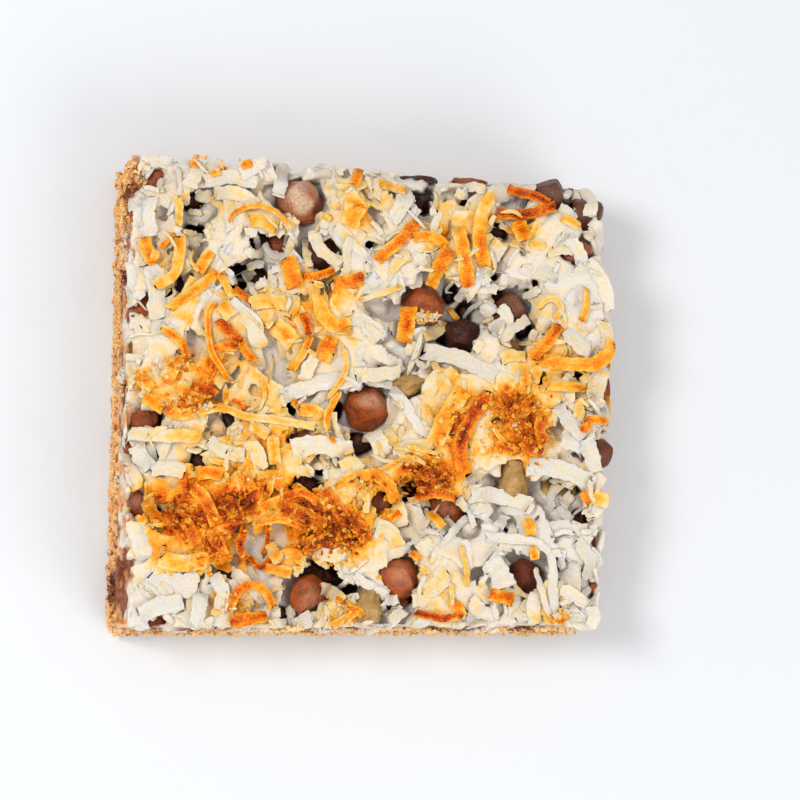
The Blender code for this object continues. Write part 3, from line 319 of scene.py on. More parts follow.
# Toasted shreds, in the same form
TOASTED = [
    ([(144, 237), (147, 250), (155, 263)], 14, 0.48, 0.58, 0.6),
    ([(174, 233), (168, 240), (161, 248)], 5, 0.45, 0.50, 0.5),
    ([(178, 196), (180, 210), (178, 226)], 8, 0.30, 0.34, 0.3),
    ([(180, 236), (179, 256), (173, 276), (153, 287)], 11, 0.40, 0.44, 0.5),
    ([(210, 252), (204, 262), (197, 273)], 12, 0.50, 0.46, 0.8),
    ([(195, 249), (190, 260), (198, 273)], 3, 0.30, 0.34, 0.9),
    ([(198, 280), (190, 300), (180, 320)], 22, 0.36, 0.32, 0.4),
    ([(216, 273), (192, 292), (168, 310)], 11, 0.52, 0.44, 0.9),
    ([(219, 274), (226, 286), (233, 299)], 8, 0.44, 0.48, 0.6),
    ([(232, 289), (246, 298), (261, 307)], 8, 0.74, 0.84, 0.7),
    ([(286, 258), (291, 273), (295, 289)], 18, 0.58, 0.66, 0.7),
    ([(303, 278), (318, 276), (334, 270)], 9, 0.56, 0.62, 0.7),
    ([(333, 285), (348, 282), (363, 278)], 14, 0.60, 0.74, 0.5),
    ([(228, 224), (233, 214), (250, 207), (268, 209), (284, 220), (293, 231)], 5, 0.52, 0.42, 1.3),
    ([(248, 222), (262, 221), (276, 230)], 15, 0.38, 0.34, 0.8),
    ([(361, 162), (358, 174), (352, 186)], 10, 0.68, 0.60, 0.8),
    ([(349, 226), (352, 216), (356, 206)], 20, 0.42, 0.36, 0.5),
    ([(326, 220), (329, 215)], 6, 0.46, 0.46, 0.5),
    ([(353, 208), (361, 206)], 4, 0.62, 0.64, 0.8),
    ([(319, 294), (321, 312), (335, 327), (351, 326)], 16, 0.40, 0.46, 0.7),
    ([(302, 313), (306, 323), (309, 335)], 9, 0.80, 0.72, 0.9),
    ([(310, 336), (301, 356), (290, 371)], 8, 0.50, 0.54, 0.8),
    ([(273, 325), (284, 334), (294, 344)], 18, 0.46, 0.42, 0.5),
    ([(330, 337), (326, 348), (321, 361)], 16, 0.60, 0.56, 0.7),
    ([(343, 346), (345, 368), (337, 385), (327, 399)], 5, 0.36, 0.46, 0.9),
    ([(218, 320), (227, 331), (240, 344)], 12, 0.86, 0.80, 0.8),
    ([(239, 342), (247, 352), (256, 364)], 9, 0.62, 0.48, 0.6),
    ([(212, 350), (224, 346), (237, 347)], 9, 0.66, 0.68, 0.6),
    ([(215, 302), (207, 313), (208, 338), (211, 354), (222, 371), (229, 383)], 6, 0.44, 0.48, 0.8),
    ([(160, 328), (172, 335), (183, 347), (187, 360)], 8, 0.50, 0.62, 0.7),
    ([(219, 304), (225, 310), (231, 318)], 15, 0.38, 0.36, 0.3),
    ([(248, 304), (268, 301), (290, 305)], 15, 0.32, 0.38, 0.4),
    ([(178, 358), (172, 370), (163, 382)], 13, 0.46, 0.48, 0.4),
    ([(134, 373), (143, 380), (153, 390)], 10, 0.46, 0.50, 0.5),
    ([(190, 386), (202, 390), (215, 396)], 14, 0.84, 0.86, 0.5),
    ([(178, 399), (188, 401), (200, 400)], 14, 0.84, 0.88, 0.4),
    ([(143, 396), (152, 402), (164, 410)], 13, 0.48, 0.56, 0.4),
    ([(166, 410), (180, 415), (196, 412)], 11, 0.56, 0.54, 0.4),
    ([(196, 413), (221, 408), (246, 417), (274, 420), (314, 427)], 8, 0.42, 0.24, 0.9),
    ([(233, 400), (239, 404), (247, 408)], 6, 0.70, 0.66, 0.5),
    ([(300, 409), (311, 410), (324, 416)], 13, 0.42, 0.40, 0.5),
    ([(340, 391), (332, 404), (326, 418), (327, 432)], 7, 0.48, 0.44, 0.8),
    ([(292, 401), (298, 406)], 8, 0.50, 0.50, 0.5),
    ([(329, 438), (334, 442)], 5, 0.50, 0.50, 0.6),
    ([(129, 433), (164, 436), (200, 437)], 13, 0.04, 0.40, 0.8),
    ([(272, 436), (273, 450), (275, 464)], 12, 0.34, 0.44, 0.4),
    ([(248, 423), (257, 428), (268, 436)], 14, 0.28, 0.30, 0.4),
    ([(378, 184), (391, 185), (406, 190)], 10, 0.44, 0.40, 0.7),
    ([(417, 222), (397, 243), (375, 262)], 13, 0.64, 0.52, 0.9),
    ([(411, 239), (429, 237), (446, 246)], 10, 0.52, 0.50, 0.8),
    ([(449, 249), (440, 264), (433, 287)], 15, 0.62, 0.50, 0.7),
    ([(458, 227), (462, 250), (468, 287)], 15, 0.38, 0.60, 0.9),
    ([(493, 194), (482, 210), (478, 240), (484, 269)], 14, 0.34, 0.64, 1.1),
    ([(511, 187), (533, 196), (549, 205)], 10, 0.84, 0.74, 0.9),
    ([(497, 213), (524, 215), (554, 207)], 11, 0.80, 0.84, 1.0),
    ([(518, 221), (521, 230), (524, 240)], 17, 0.56, 0.46, 0.5),
    ([(560, 219), (569, 222), (579, 228)], 9, 0.36, 0.42, 0.6),
    ([(585, 288), (585, 304), (581, 322)], 7, 0.36, 0.56, 0.7),
    ([(410, 306), (409, 324), (406, 342)], 17, 0.62, 0.60, 0.7),
    ([(359, 301), (380, 294), (402, 287)], 6, 0.20, 0.40, 0.7),
    ([(454, 306), (458, 311), (463, 317)], 6, 0.46, 0.50, 0.8),
    ([(538, 309), (545, 300), (555, 301), (560, 310), (555, 319)], 6, 0.36, 0.44, 0.7),
    ([(559, 326), (547, 341), (532, 359)], 12, 0.78, 0.60, 0.9),
    ([(538, 360), (568, 364), (593, 364), (606, 355), (613, 342)], 14, 0.44, 0.62, 0.8),
    ([(614, 363), (620, 369)], 8, 0.46, 0.50, 0.4),
    ([(544, 386), (565, 387), (587, 388)], 10, 0.44, 0.54, 0.6),
    ([(525, 373), (524, 383), (522, 395)], 11, 0.52, 0.58, 0.6),
    ([(463, 388), (447, 414), (434, 443)], 19, 0.52, 0.42, 0.6),
    ([(490, 392), (470, 419), (459, 442), (460, 460), (465, 478)], 15, 0.90, 0.70, 1.2),
    ([(534, 400), (523, 408), (511, 418)], 16, 0.58, 0.70, 0.7),
    ([(506, 420), (518, 428), (532, 436)], 15, 0.70, 0.82, 0.5),
    ([(520, 440), (530, 448), (542, 452)], 14, 0.70, 0.76, 0.4),
    ([(493, 446), (505, 448), (518, 452)], 11, 0.60, 0.64, 0.3),
    ([(540, 418), (538, 430), (543, 444)], 12, 0.74, 0.66, 0.3),
    ([(584, 421), (597, 420), (611, 423)], 8, 0.64, 0.56, 0.7),
    ([(581, 430), (588, 425)], 9, 0.68, 0.66, 0.5),
    ([(613, 394), (616, 406), (620, 421)], 8, 0.52, 0.28, 0.5),
    ([(357, 477), (373, 475), (387, 485), (396, 501)], 12, 0.54, 0.58, 0.9),
    ([(357, 492), (364, 494), (370, 500)], 13, 0.44, 0.42, 0.4),
    ([(402, 466), (409, 469), (417, 473)], 9, 0.86, 0.80, 0.6),
    ([(420, 470), (434, 476), (449, 488)], 18, 0.82, 0.70, 0.6),
    ([(416, 494), (436, 493), (456, 498)], 12, 0.72, 0.62, 0.8),
    ([(388, 520), (394, 516), (399, 512)], 8, 0.52, 0.66, 0.5),
    ([(526, 519), (528, 527), (530, 536)], 13, 0.52, 0.46, 0.5),
    ([(531, 547), (533, 553), (534, 559)], 9, 0.48, 0.54, 0.5),
    ([(583, 491), (586, 497), (589, 504)], 11, 0.48, 0.58, 0.5),
    ([(592, 496), (600, 499), (609, 500)], 17, 0.32, 0.26, 0.4),
    ([(489, 594), (501, 597), (514, 600)], 14, 0.62, 0.56, 0.5),
    ([(460, 544), (463, 558), (466, 573), (466, 587)], 5, 0.40, 0.36, 0.6),
    ([(412, 553), (418, 559)], 8, 0.50, 0.50, 0.6),
    ([(454, 602), (457, 609), (461, 616)], 12, 0.52, 0.60, 0.5),
    ([(414, 613), (440, 618), (462, 615)], 8, 0.84, 0.74, 0.6),
    ([(450, 582), (451, 594), (451, 606)], 4, 0.34, 0.36, 0.5),
    ([(554, 615), (563, 622)], 11, 0.70, 0.60, 0.3),
    ([(391, 448), (412, 451), (434, 461)], 4, 0.36, 0.40, 0.7),
    ([(396, 455), (414, 459), (430, 468)], 4, 0.34, 0.40, 0.6),
    ([(405, 446), (424, 451), (442, 455)], 4, 0.34, 0.30, 0.8),
    ([(431, 512), (436, 519), (442, 528)], 10, 0.42, 0.36, 0.5),
    ([(228, 611), (237, 592), (252, 585), (266, 593), (275, 609)], 9, 0.66, 0.58, 1.5),
    ([(228, 623), (248, 619), (268, 615)], 13, 0.76, 0.60, 0.5),
    ([(330, 626), (345, 618), (361, 608)], 8, 0.42, 0.40, 0.6),
    ([(346, 606), (355, 610), (362, 616)], 7, 0.60, 0.62, 0.6),
    ([(336, 598), (340, 601)], 5, 0.52, 0.54, 1.2),
    ([(241, 166), (251, 163)], 8, 0.56, 0.60, 0.3),
    ([(192, 161), (199, 164)], 7, 0.46, 0.52, 0.3),
    ([(212, 173), (221, 171)], 6, 0.44, 0.48, 0.3),
    ([(191, 485), (204, 500), (216, 525)], 13, 0.52, 0.62, 0.7),
    ([(168, 513), (176, 526), (186, 541)], 11, 0.72, 0.64, 0.5),
    ([(147, 499), (154, 512), (162, 526)], 14, 0.46, 0.50, 0.4),
    ([(196, 474), (209, 472), (223, 474)], 14, 0.42, 0.48, 0.4),
    ([(239, 470), (245, 480), (251, 492)], 14, 0.46, 0.60, 0.4),
    ([(222, 500), (232, 508), (238, 520)], 16, 0.82, 0.90, 0.5),
    ([(245, 527), (241, 548), (250, 562)], 8, 0.80, 0.72, 0.8),
    ([(267, 525), (269, 541), (265, 554)], 5, 0.64, 0.70, 0.8),
    ([(250, 557), (263, 567), (273, 557)], 7, 0.72, 0.74, 0.8),
    ([(254, 524), (280, 520), (303, 528)], 7, 0.54, 0.62, 0.8),
    ([(283, 497), (301, 492), (318, 503)], 9, 0.60, 0.72, 0.8),
    ([(290, 510), (306, 516), (324, 528)], 16, 0.68, 0.78, 0.6),
    ([(300, 548), (318, 542), (340, 538)], 16, 0.74, 0.84, 0.6),
    ([(323, 490), (334, 506), (344, 519)], 13, 0.76, 0.80, 1.0),
    ([(266, 568), (279, 570), (291, 573)], 10, 0.46, 0.50, 0.5),
    ([(271, 543), (275, 552), (279, 562)], 12, 0.34, 0.36, 0.3),
    ([(211, 532), (218, 546), (227, 563)], 13, 0.56, 0.60, 0.5),
    ([(158, 558), (182, 563), (208, 560)], 17, 0.40, 0.44, 0.4),
    ([(184, 520), (192, 534), (196, 548)], 13, 0.70, 0.56, 0.5),
    ([(352, 522), (360, 530), (366, 542)], 15, 0.66, 0.74, 0.4),
    ([(156, 250), (152, 262)], 8, 0.50, 0.54, 0.8),
]

# How far the coconut keeps off a chip or nut, as a share of its reach
USUAL_CLEARANCE = 0.82
CLEARED = {
    "chip_01": 1.05, "chip_02": 1.05, "chip_03": 1.0, "chip_04": 0.95, "chip_07": 0.6, "chip_08": 0.6,
    "chip_09": 0.85, "chip_10": 0.6, "chip_11": 0.6,
}

# Laying of the coconut by chance: how many, ranges of length and width, thickness, the level they settle
# under, how far they rest above what they lie on, the share that bridges openings, how far they arch, and
# the share that is left out where the coconut is run together
UNDER_LAID = dict(count=440, lengths=(7.0, 14.0), widths=(2.2, 5.2), thickness=0.9, top=22.2, rest=-0.1,
                  bridging=0.06, lift=0.8)
OVER_LAID = dict(count=350, lengths=(6.0, 15.0), widths=(1.5, 4.2), thickness=0.42, top=22.9, rest=0.0,
                 bridging=0.12, lift=0.9)
LOOSE_LAID = dict(count=250, lengths=(4.0, 12.0), widths=(0.8, 3.0), thickness=0.42, top=23.1, rest=-0.26,
                  bridging=0.1, lift=0.7, matted=1.0)
THREADS_LAID = dict(count=110, lengths=(2.0, 5.0), widths=(0.4, 0.9), thickness=0.4, top=23.3, rest=0.2,
                    bridging=0.3, lift=0.6, matted=0.8)
TOP_THREADS_LAID = dict(count=130, lengths=(1.6, 6.0), widths=(0.4, 1.1), thickness=0.35, top=24.0,
                        rest=0.1, bridging=0.25, lift=0.6, matted=0.7)

# Laying of the shreds read off the photograph: the same, how stiff they are, and how torn
CREAM_LAID = dict(thickness=0.36, top=23.5, rest=-0.08, stiff=0.4, torn=1.1)
TOASTED_LAID = dict(thickness=0.5, top=24.2, rest=0.2, stiff=0.8, torn=0.7)

# Torn flaps round the openings
FLAPS_PER_MM = 1.0
FLAP_LENGTH = (1.8, 4.2)
FLAP_WIDTH = (0.8, 2.0)
FLAP_OFF = 0.9
FLAP_THICKNESS = 0.4
FLAP_TOP = 22.9

# Shreds that lie in the cut sides of the bed
SIDE_SHREDS = 150
SIDE_LENGTH = (4.0, 9.0)
SIDE_WIDTH = (1.4, 3.0)
SIDE_TOP = 19.0

# Seeds of what is laid by chance
UNDER_SEED = 41
LOOSE_SEED = 42
CREAM_SEED = 43
TOAST_SEED = 44
THREAD_SEED = 45
FLAP_SEED = 46
SIDE_SEED = 11
SUNK_SEED = 61
GRAIN_SEED = 52
CRUMB_SEED = 51

# Unevenness of edges and surfaces: height, size and seed of each layer of lumps
RAGGED_MARKS = [(0.95, 1.9, 71), (0.5, 0.7, 72)]
RAGGED_OPENINGS = [(0.34, 1.4, 8), (0.2, 0.7, 9)]
UNEVEN_RIM = [(0.02, 2.0, 37)]
UNEVEN_WALL = [(1.5, 2.4, 35), (0.8, 1.0, 36)]
UNEVEN_PIT = [(0.15, 0.9, 40)]
UNEVEN_CHIP = [(0.7, 2.9, 21), (0.25, 1.3, 22)]
UNEVEN_WALNUT = [(0.3, 1.6, 23), (0.12, 0.7, 24)]
UNEVEN_NUT = [(0.3, 0.6, 25), (0.12, 0.25, 26)]
UNEVEN_SUNK = [(0.32, 2.6, 27), (0.14, 1.1, 30)]
UNEVEN_SIDE_PIECE = [(0.15, 1.9, 28)]
UNEVEN_GRAIN = [(0.5, 0.8, 39)]
UNEVEN_CRUMB = [(0.3, 0.5, 33)]
PATCHED_SHRED = [(0.09, 1.5, 14)]
PATCHED_GRAIN = [(0.12, 0.5, 38)]
PATCHED_BLOOM = [(0.9, 2.6, 34)]
CRAGS = [(1.0, 1.9, 31), (0.7, 0.9, 32)]

# Chips: those that are whole, plane cuts and how near the nearest is, how dark, and how much bloom
WHOLE_CHIPS = ("chip_01", "chip_02", "chip_03")
WHOLE_CUTS = (2, 0.75)
BROKEN_CUTS = (8, 0.6)
USUAL_DARK = 0.15
DARK_CHIPS = {
    "chip_04": 0.05, "chip_05": 0.0, "chip_06": 0.8, "chip_07": 0.85, "chip_08": 0.8, "chip_09": 0.25,
    "chip_10": 0.75, "chip_12": 0.95, "chip_13": 1.0, "chip_14": 0.8,
}
USUAL_BLOOM = 0.06
BLOOMED_CHIPS = {
    "chip_01": 0.95, "chip_03": 0.4, "chip_04": 0.14, "chip_05": 0.16, "chip_06": 0.1, "chip_07": 0.08,
    "chip_08": 0.12, "chip_09": 0.3, "chip_12": 0.0, "chip_13": 0.0, "chip_14": 0.0,
}

# Rings of a chip's outline, as radius and height, and the height of its middle
CHIP_OUTLINE = [(1.0, 0.2), (0.97, 0.5), (0.8, 0.95), (0.52, 1.3), (0.22, 1.52)]
CHIP_MIDDLE = 0.76

# Chips and nuts down in the openings: how deep, and how large at least and at most
SUNK_DEPTH = 2.0
DARK_DEPTH = 3.8
SUNK_SIZE = (2.6, 4.2)

# Chips and nuts in the sides of the filling, as in the solids
SIDE_PIECES = 24
SIDE_PIECE_WIDTH = (5.0, 7.4)

# Toasted grains: middle and reach of each cluster, and how many
GRAINED = [
    (518, 428, 28, 34, 260), (430, 477, 28, 16, 130), (322, 530, 34, 30, 240), (190, 402, 28, 15, 110),
    (180, 514, 24, 16, 90), (236, 508, 24, 18, 120), (212, 545, 40, 24, 90), (500, 404, 18, 16, 80),
    (350, 540, 16, 18, 80), (135, 380, 9, 9, 25), (560, 618, 11, 6, 25), (176, 368, 24, 14, 60),
    (240, 604, 20, 10, 40), (340, 612, 18, 12, 40), (452, 420, 14, 26, 40), (250, 476, 30, 12, 30),
    (372, 486, 18, 12, 30), (428, 317, 12, 6, 60),
]
GRAIN_SIZE = (0.2, 0.65)

# Crumbs: how many on the sides and on top, sizes, and clumps: middle and reach, level, and how many
SIDE_CRUMBS = 2600
TOP_CRUMBS = 70
CRUMB_SIZE = (0.15, 0.35)
LARGER_CRUMBS = 0.35
CLUMPED = [
    (130, 182, 12, 13, 19.5, 320), (122, 215, 6, 20, 16.0, 160), (125, 262, 5, 20, 15.0, 90),
    (197, 158, 5, 3, 20.0, 20), (222, 168, 5, 3, 20.0, 16), (246, 163, 6, 3, 20.0, 18),
    (104, 612, 4, 12, 4.0, 70), (113, 622, 8, 8, 5.0, 70), (126, 632, 9, 4, 8.0, 50),
    (192, 632, 7, 3, 12.0, 26), (306, 630, 9, 3, 13.0, 30), (560, 622, 9, 4, 17.0, 40),
    (118, 300, 3, 30, 12.0, 60), (122, 380, 4, 14, 15.0, 50), (117, 480, 4, 12, 13.0, 60),
    (480, 629, 70, 2, 17.5, 200), (290, 629, 80, 2, 17.5, 180),
]

# Colours from 0 to 255, and ramps of them
TOAST_RAMP = [
    (0.0, (219, 210, 199)), (0.12, (228, 209, 178)), (0.25, (237, 197, 124)), (0.38, (243, 172, 50)),
    (0.50, (240, 142, 10)), (0.62, (226, 110, 0)), (0.76, (192, 74, 0)), (1.0, (88, 32, 8)),
]
# Grey of coconut lying deep: partly the wet milk's own grey, partly painted shade
DEEP_GREY_AND_SHADE_RAMP = [(0.3, (188, 180, 170)), (0.7, (212, 206, 198))]
LINED_RAMP = [(0.3, (249, 246, 241)), (0.55, (255, 255, 255))]
BAKED_RAMP = [
    (0.34, (150, 80, 40)), (0.42, (206, 130, 70)), (0.56, (228, 168, 112)), (0.68, (234, 214, 186)),
]
MELTED_RAMP = [(0.3, (88, 38, 18)), (0.5, (124, 60, 30)), (0.66, (172, 104, 62))]
CRUMB_RAMP = [(0.25, (238, 160, 82)), (0.5, (252, 192, 118)), (0.75, (254, 218, 160))]
MILK_RAMP = [
    (0.0, (190, 122, 62)), (0.5, (206, 150, 92)), (0.8, (220, 184, 136)), (1.0, (230, 208, 174)),
]
WALNUT_RAMP = [(0.3, (196, 158, 96)), (0.55, (172, 130, 66)), (0.75, (128, 88, 38))]
WALNUT_VEIN = (104, 66, 28)
DRIED_MILK = (230, 218, 202)
# Painted shade: near black for the bottoms of the dark openings, standing in for their shadow
PIT_SHADE = (34, 17, 10)
CHOCOLATE = (178, 80, 20)
DARK_CHOCOLATE = (52, 20, 10)
CLOUDED_CHOCOLATE = (84, 32, 10)
BLOOM = (212, 180, 148)
DARK_CRUMB = (168, 90, 38)
PALE_CRUMB = (236, 196, 142)
# Painted light: paler crumb for the front side, which the lamps leave darker
FRONT_LIT_CRUMB = (255, 218, 158)
BURNT_CRUMB = (130, 68, 32)
# Painted light: paler milk for the front side
FRONT_LIT_MILK = (238, 216, 188)
CARAMEL_FLECK = (140, 86, 50)
FLOOR = (217, 219, 221)

# Lamps: name, place in metres, size and power
LAMPS = [
    ("key", (-0.36, 0.10, 0.62), 0.22, 2.6),
    ("fill", (0.38, -0.50, 0.52), 0.60, 2.9),
    ("top", (-0.05, 0.05, 0.95), 0.70, 1.12),
]


def linear(red, green, blue):
    """A colour given as 0 to 255 in the photograph, as light."""
    values = []
    for part in (red, green, blue):
        share = part / 255
        values.append(share / 12.92 if share <= 0.04045 else ((share + 0.055) / 1.055) ** 2.4)
    return (*values, 1.0)


def camera_turn():
    """The camera's right, up and backward directions."""
    back = TOWARDS_CAMERA / np.linalg.norm(TOWARDS_CAMERA)
    right = np.cross([0.0, 1.0, 0.0], back)
    right /= np.linalg.norm(right)
    return right, np.cross(back, right), back


def spot(px, py, level=TOP_PLANE):
    """Place on the bar, at that level, that the photograph shows at a pixel."""
    right, up, back = camera_turn()
    focal = FRAME * LENS / SENSOR
    ray = right * (px - FRAME / 2) / focal + up * (FRAME / 2 - py) / focal - back
    return (CAMERA + ray * (level - CAMERA[2]) / ray[2])[:2]


def seen(points):
    """Pixels at which the photograph shows points."""
    right, up, back = camera_turn()
    off = points - CAMERA
    focal = FRAME * LENS / SENSOR / -(off @ back)
    return np.column_stack([FRAME / 2 + off @ right * focal, FRAME / 2 - off @ up * focal])


def marks(rows, points):
    """How much each point belongs to the marks, which wander and break up with the level."""
    wander = np.column_stack([lumps(points, 2.4, 73), lumps(points, 2.4, 74), 0 * points[:, 2]])
    at = seen(points + 1.5 * wander)
    ragged = unevenness(points, RAGGED_MARKS)
    share = np.zeros(len(points))
    for px, py, across, up in rows:
        off = (at - [px, py]) / [across, up]
        near = np.clip((1.1 - np.hypot(off[:, 0], off[:, 1]) + ragged) / 0.15, 0, 1)
        share = np.maximum(share, near)
    return share


def lumps(points, size, seed):
    """Smooth unevenness between -1 and 1 at each point."""
    table = np.random.RandomState(seed).uniform(-1, 1, (16, 16, 16))
    places = np.asarray(points, float) / size
    if places.shape[1] == 2:
        places = np.column_stack([places, np.full(len(places), 0.37)])
    cell = np.floor(places).astype(int)
    part = places - cell
    part = part * part * (3 - 2 * part)
    total = np.zeros(len(places))
    for corner in np.ndindex(2, 2, 2):
        index = (cell + corner) % 16
        weight = np.prod(np.where(corner, part, 1 - part), axis=1)
        total += weight * table[index[:, 0], index[:, 1], index[:, 2]]
    return total


def unevenness(points, layers):
    """Layers of lumps, each of a height, a size and a seed, added up."""
    total = 0.0
    for height, size, seed in layers:
        total = total + height * lumps(points, size, seed)
    return total


def left_side(y):
    return np.interp(y, [FRONT_LEFT[1], BACK_LEFT[1]], [FRONT_LEFT[0], BACK_LEFT[0]])


def right_side(y):
    share = np.clip((y - FRONT_RIGHT[1]) / (BACK_RIGHT[1] - FRONT_RIGHT[1]), 0, 1) * 2 - 1
    return FRONT_RIGHT[0] + RIGHT_BULGE * (1 - share * share)


def front_side(x):
    return np.interp(x, [FRONT_LEFT[0], FRONT_RIGHT[0]], [FRONT_LEFT[1], FRONT_RIGHT[1]])


def back_side(x):
    return np.interp(x, [BACK_LEFT[0], BACK_RIGHT[0]], [BACK_LEFT[1], BACK_RIGHT[1]])


def cut_to_sides(points, inset, keep=0.12, rough=0.5, seed=3):
    """Presses what hangs over the cut sides of the bar back to them, unevenly."""
    cut = points.copy()
    wavy = rough * lumps(points, 1.7, seed) + 0.4 * rough * lumps(points, 0.8, seed + 1)
    sides = (
        (0, left_side, -1, np.interp(cut[:, 1], *LEFT_SHARE)),
        (0, right_side, 1, np.interp(cut[:, 1], *RIGHT_SHARE)),
        (1, front_side, -1, FRONT_SHARE),
        (1, back_side, 1, BACK_SHARE),
    )
    for axis, side, sign, share in sides:
        limit = side(cut[:, 1 - axis]) - sign * inset * share + wavy
        over = (cut[:, axis] - limit) * sign
        cut[:, axis] = np.where(over > 0, limit + sign * over * keep, cut[:, axis])
    return cut


def round_the_bar(turn, reach):
    """Shares across and up of a place that runs round the four sides as turn goes from 0 to 4."""
    along = 2 * reach * (turn % 1.0) - reach
    return [(along, -1.0), (1.0, along), (-along, 1.0), (-1.0, -along)][int(turn)]


def press_below(points, level, keep):
    """Keeps only a share of what stands over a level."""
    points[:, 2] = np.where(points[:, 2] > level, level + (points[:, 2] - level) * keep, points[:, 2])


def keep_in_box(points, low=None):
    """Holds points inside the solids' box."""
    return np.clip(points, np.array(LOW if low is None else low) + 0.02, HIGH - 0.02)


def box_of(name):
    """Low and high corners of a solid's box, in millimetres."""
    return (np.array(corner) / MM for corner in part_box(name))


def plan(u, v, inset):
    """A point of the bar seen from above: u runs from left to right, v from front to back."""
    u = np.asarray(u, float)[..., None]
    v = np.asarray(v, float)[..., None]
    front = FRONT_LEFT + (FRONT_RIGHT - FRONT_LEFT) * (u + 1) / 2
    back = BACK_LEFT + (BACK_RIGHT - BACK_LEFT) * (u + 1) / 2
    point = front + (back - front) * (v + 1) / 2
    bulge = RIGHT_BULGE * np.maximum(u, 0) ** 4 * (1 - v * v)
    return point - np.concatenate([u, v], -1) * inset + np.concatenate([bulge, 0 * bulge], -1)


def field(rows, points):
    """Strength of the named places at each point."""
    total = np.zeros(len(points))
    for px, py, across, up, strength in rows:
        middle = spot(px, py)
        off = (points[:, :2] - middle) / (np.array([across, up]) / SCALE)
        total = total + strength * np.exp(-(off ** 2).sum(1) ** 1.4)
    return total


def toast_field(points):
    """How brown the coconut is at each point, from 0 to 1."""
    broad = lumps(points[:, :2], 2.6, 5)
    fine = lumps(points[:, :2], 0.9, 6)
    browned = field(BROWNED, points) * (1 + 0.55 * broad + 0.3 * fine)
    hazed = field(HAZED, points) * (1 + 0.9 * broad)
    return np.clip(browned + hazed, 0, 1)


def soften(grid, reach):
    """Blurs a grid by about that many cells."""
    result = grid.copy()
    for _ in range(3):
        for axis in (0, 1):
            padded = np.concatenate([
                np.repeat(np.take(result, [0], axis), reach + 1, axis),
                result,
                np.repeat(np.take(result, [-1], axis), reach, axis),
            ], axis)
            total = np.cumsum(padded, axis)
            count = result.shape[axis]
            upper = np.take(total, range(2 * reach + 1, 2 * reach + 1 + count), axis)
            lower = np.take(total, range(0, count), axis)
            result = (upper - lower) / (2 * reach + 1)
    return result


class Ground:
    """Heights and toast over the bar, which each shred that is laid raises."""

    def __init__(self, height, holes):
        self.height = height
        self.holes = holes
        self.toast = np.full(height.shape, -1.0)

    def index(self, points):
        across = (points[:, 0] - GRID_X[0]) / CELL
        up = (points[:, 1] - GRID_Y[0]) / CELL
        return np.clip(across, 0, len(GRID_X) - 1.001), np.clip(up, 0, len(GRID_Y) - 1.001)

    def read(self, grid, points):
        across, up = self.index(points)
        i = across.astype(int)
        j = up.astype(int)
        s = across - i
        t = up - j
        low = grid[j, i] * (1 - s) + grid[j, i + 1] * s
        high = grid[j + 1, i] * (1 - s) + grid[j + 1, i + 1] * s
        return low * (1 - t) + high * t

    def near(self, grid, points):
        across, up = self.index(points)
        return grid[np.rint(up).astype(int), np.rint(across).astype(int)]

    def lay(self, points, toast):
        across, up = self.index(points)
        i = np.rint(across).astype(int)
        j = np.rint(up).astype(int)
        higher = points[:, 2] > self.height[j, i]
        self.toast[j[higher], i[higher]] = toast[higher]
        np.maximum.at(self.height, (j, i), points[:, 2])


def smooth_line(points, count):
    """Evenly spaced places on a smooth line through the points."""
    points = np.asarray(points, float)
    if len(points) == 2:
        return points[0] + np.linspace(0, 1, count)[:, None] * (points[1] - points[0])
    ends = np.vstack([2 * points[0] - points[1], points, 2 * points[-1] - points[-2]])
    fine = []
    for a, b, c, d in zip(ends, ends[1:], ends[2:], ends[3:]):
        t = np.linspace(0, 1, 12, endpoint=False)[:, None]
        fine.append(0.5 * (2 * b + (c - a) * t + (2 * a - 5 * b + 4 * c - d) * t ** 2
                           + (3 * b - a - 3 * c + d) * t ** 3))
    fine = np.vstack([*fine, points[-1:]])
    run = np.concatenate([[0], np.cumsum(np.linalg.norm(np.diff(fine, axis=0), axis=1))])
    even = np.linspace(0, run[-1], count)
    return np.column_stack([np.interp(even, run, fine[:, k]) for k in range(2)])


def settle(height, top, room=1.6):
    """Presses what stands high down below a top, more and more."""
    start = top - room
    over = np.maximum(height - start, 0)
    return np.where(over > 0, start + room * (1 - np.exp(-over / room)), height)


def inside(points, inset):
    """Whether each point is on the bar and that far from its cut sides."""
    x, y = points[:, 0], points[:, 1]
    return ((x > left_side(y) + inset) & (x < right_side(y) - inset)
            & (y > front_side(x) + inset) & (y < back_side(x) - inset))


def free_run(ground, line, width, inset, bridging):
    """The longest stretch of a line that is on the bar and, unless it bridges them, off the openings."""
    line = smooth_line(line, 33)
    clear = inside(line, inset)
    run = np.gradient(line, axis=0)
    run /= np.linalg.norm(run, axis=1)[:, None] + 1e-9
    aside = np.column_stack([-run[:, 1], run[:, 0]]) * 0.4 * width
    closed = ground.chips if bridging else ground.holes
    for shifted in (line - aside, line, line + aside):
        clear &= ground.read(closed, shifted) < 0.5
    best = (0, 0)
    start = None
    for i, is_clear in enumerate([*clear, False]):
        if is_clear and start is None:
            start = i
        if not is_clear and start is not None:
            best = max(best, (start, i), key=lambda stretch: stretch[1] - stretch[0])
            start = None
    return line[best[0]:best[1]]


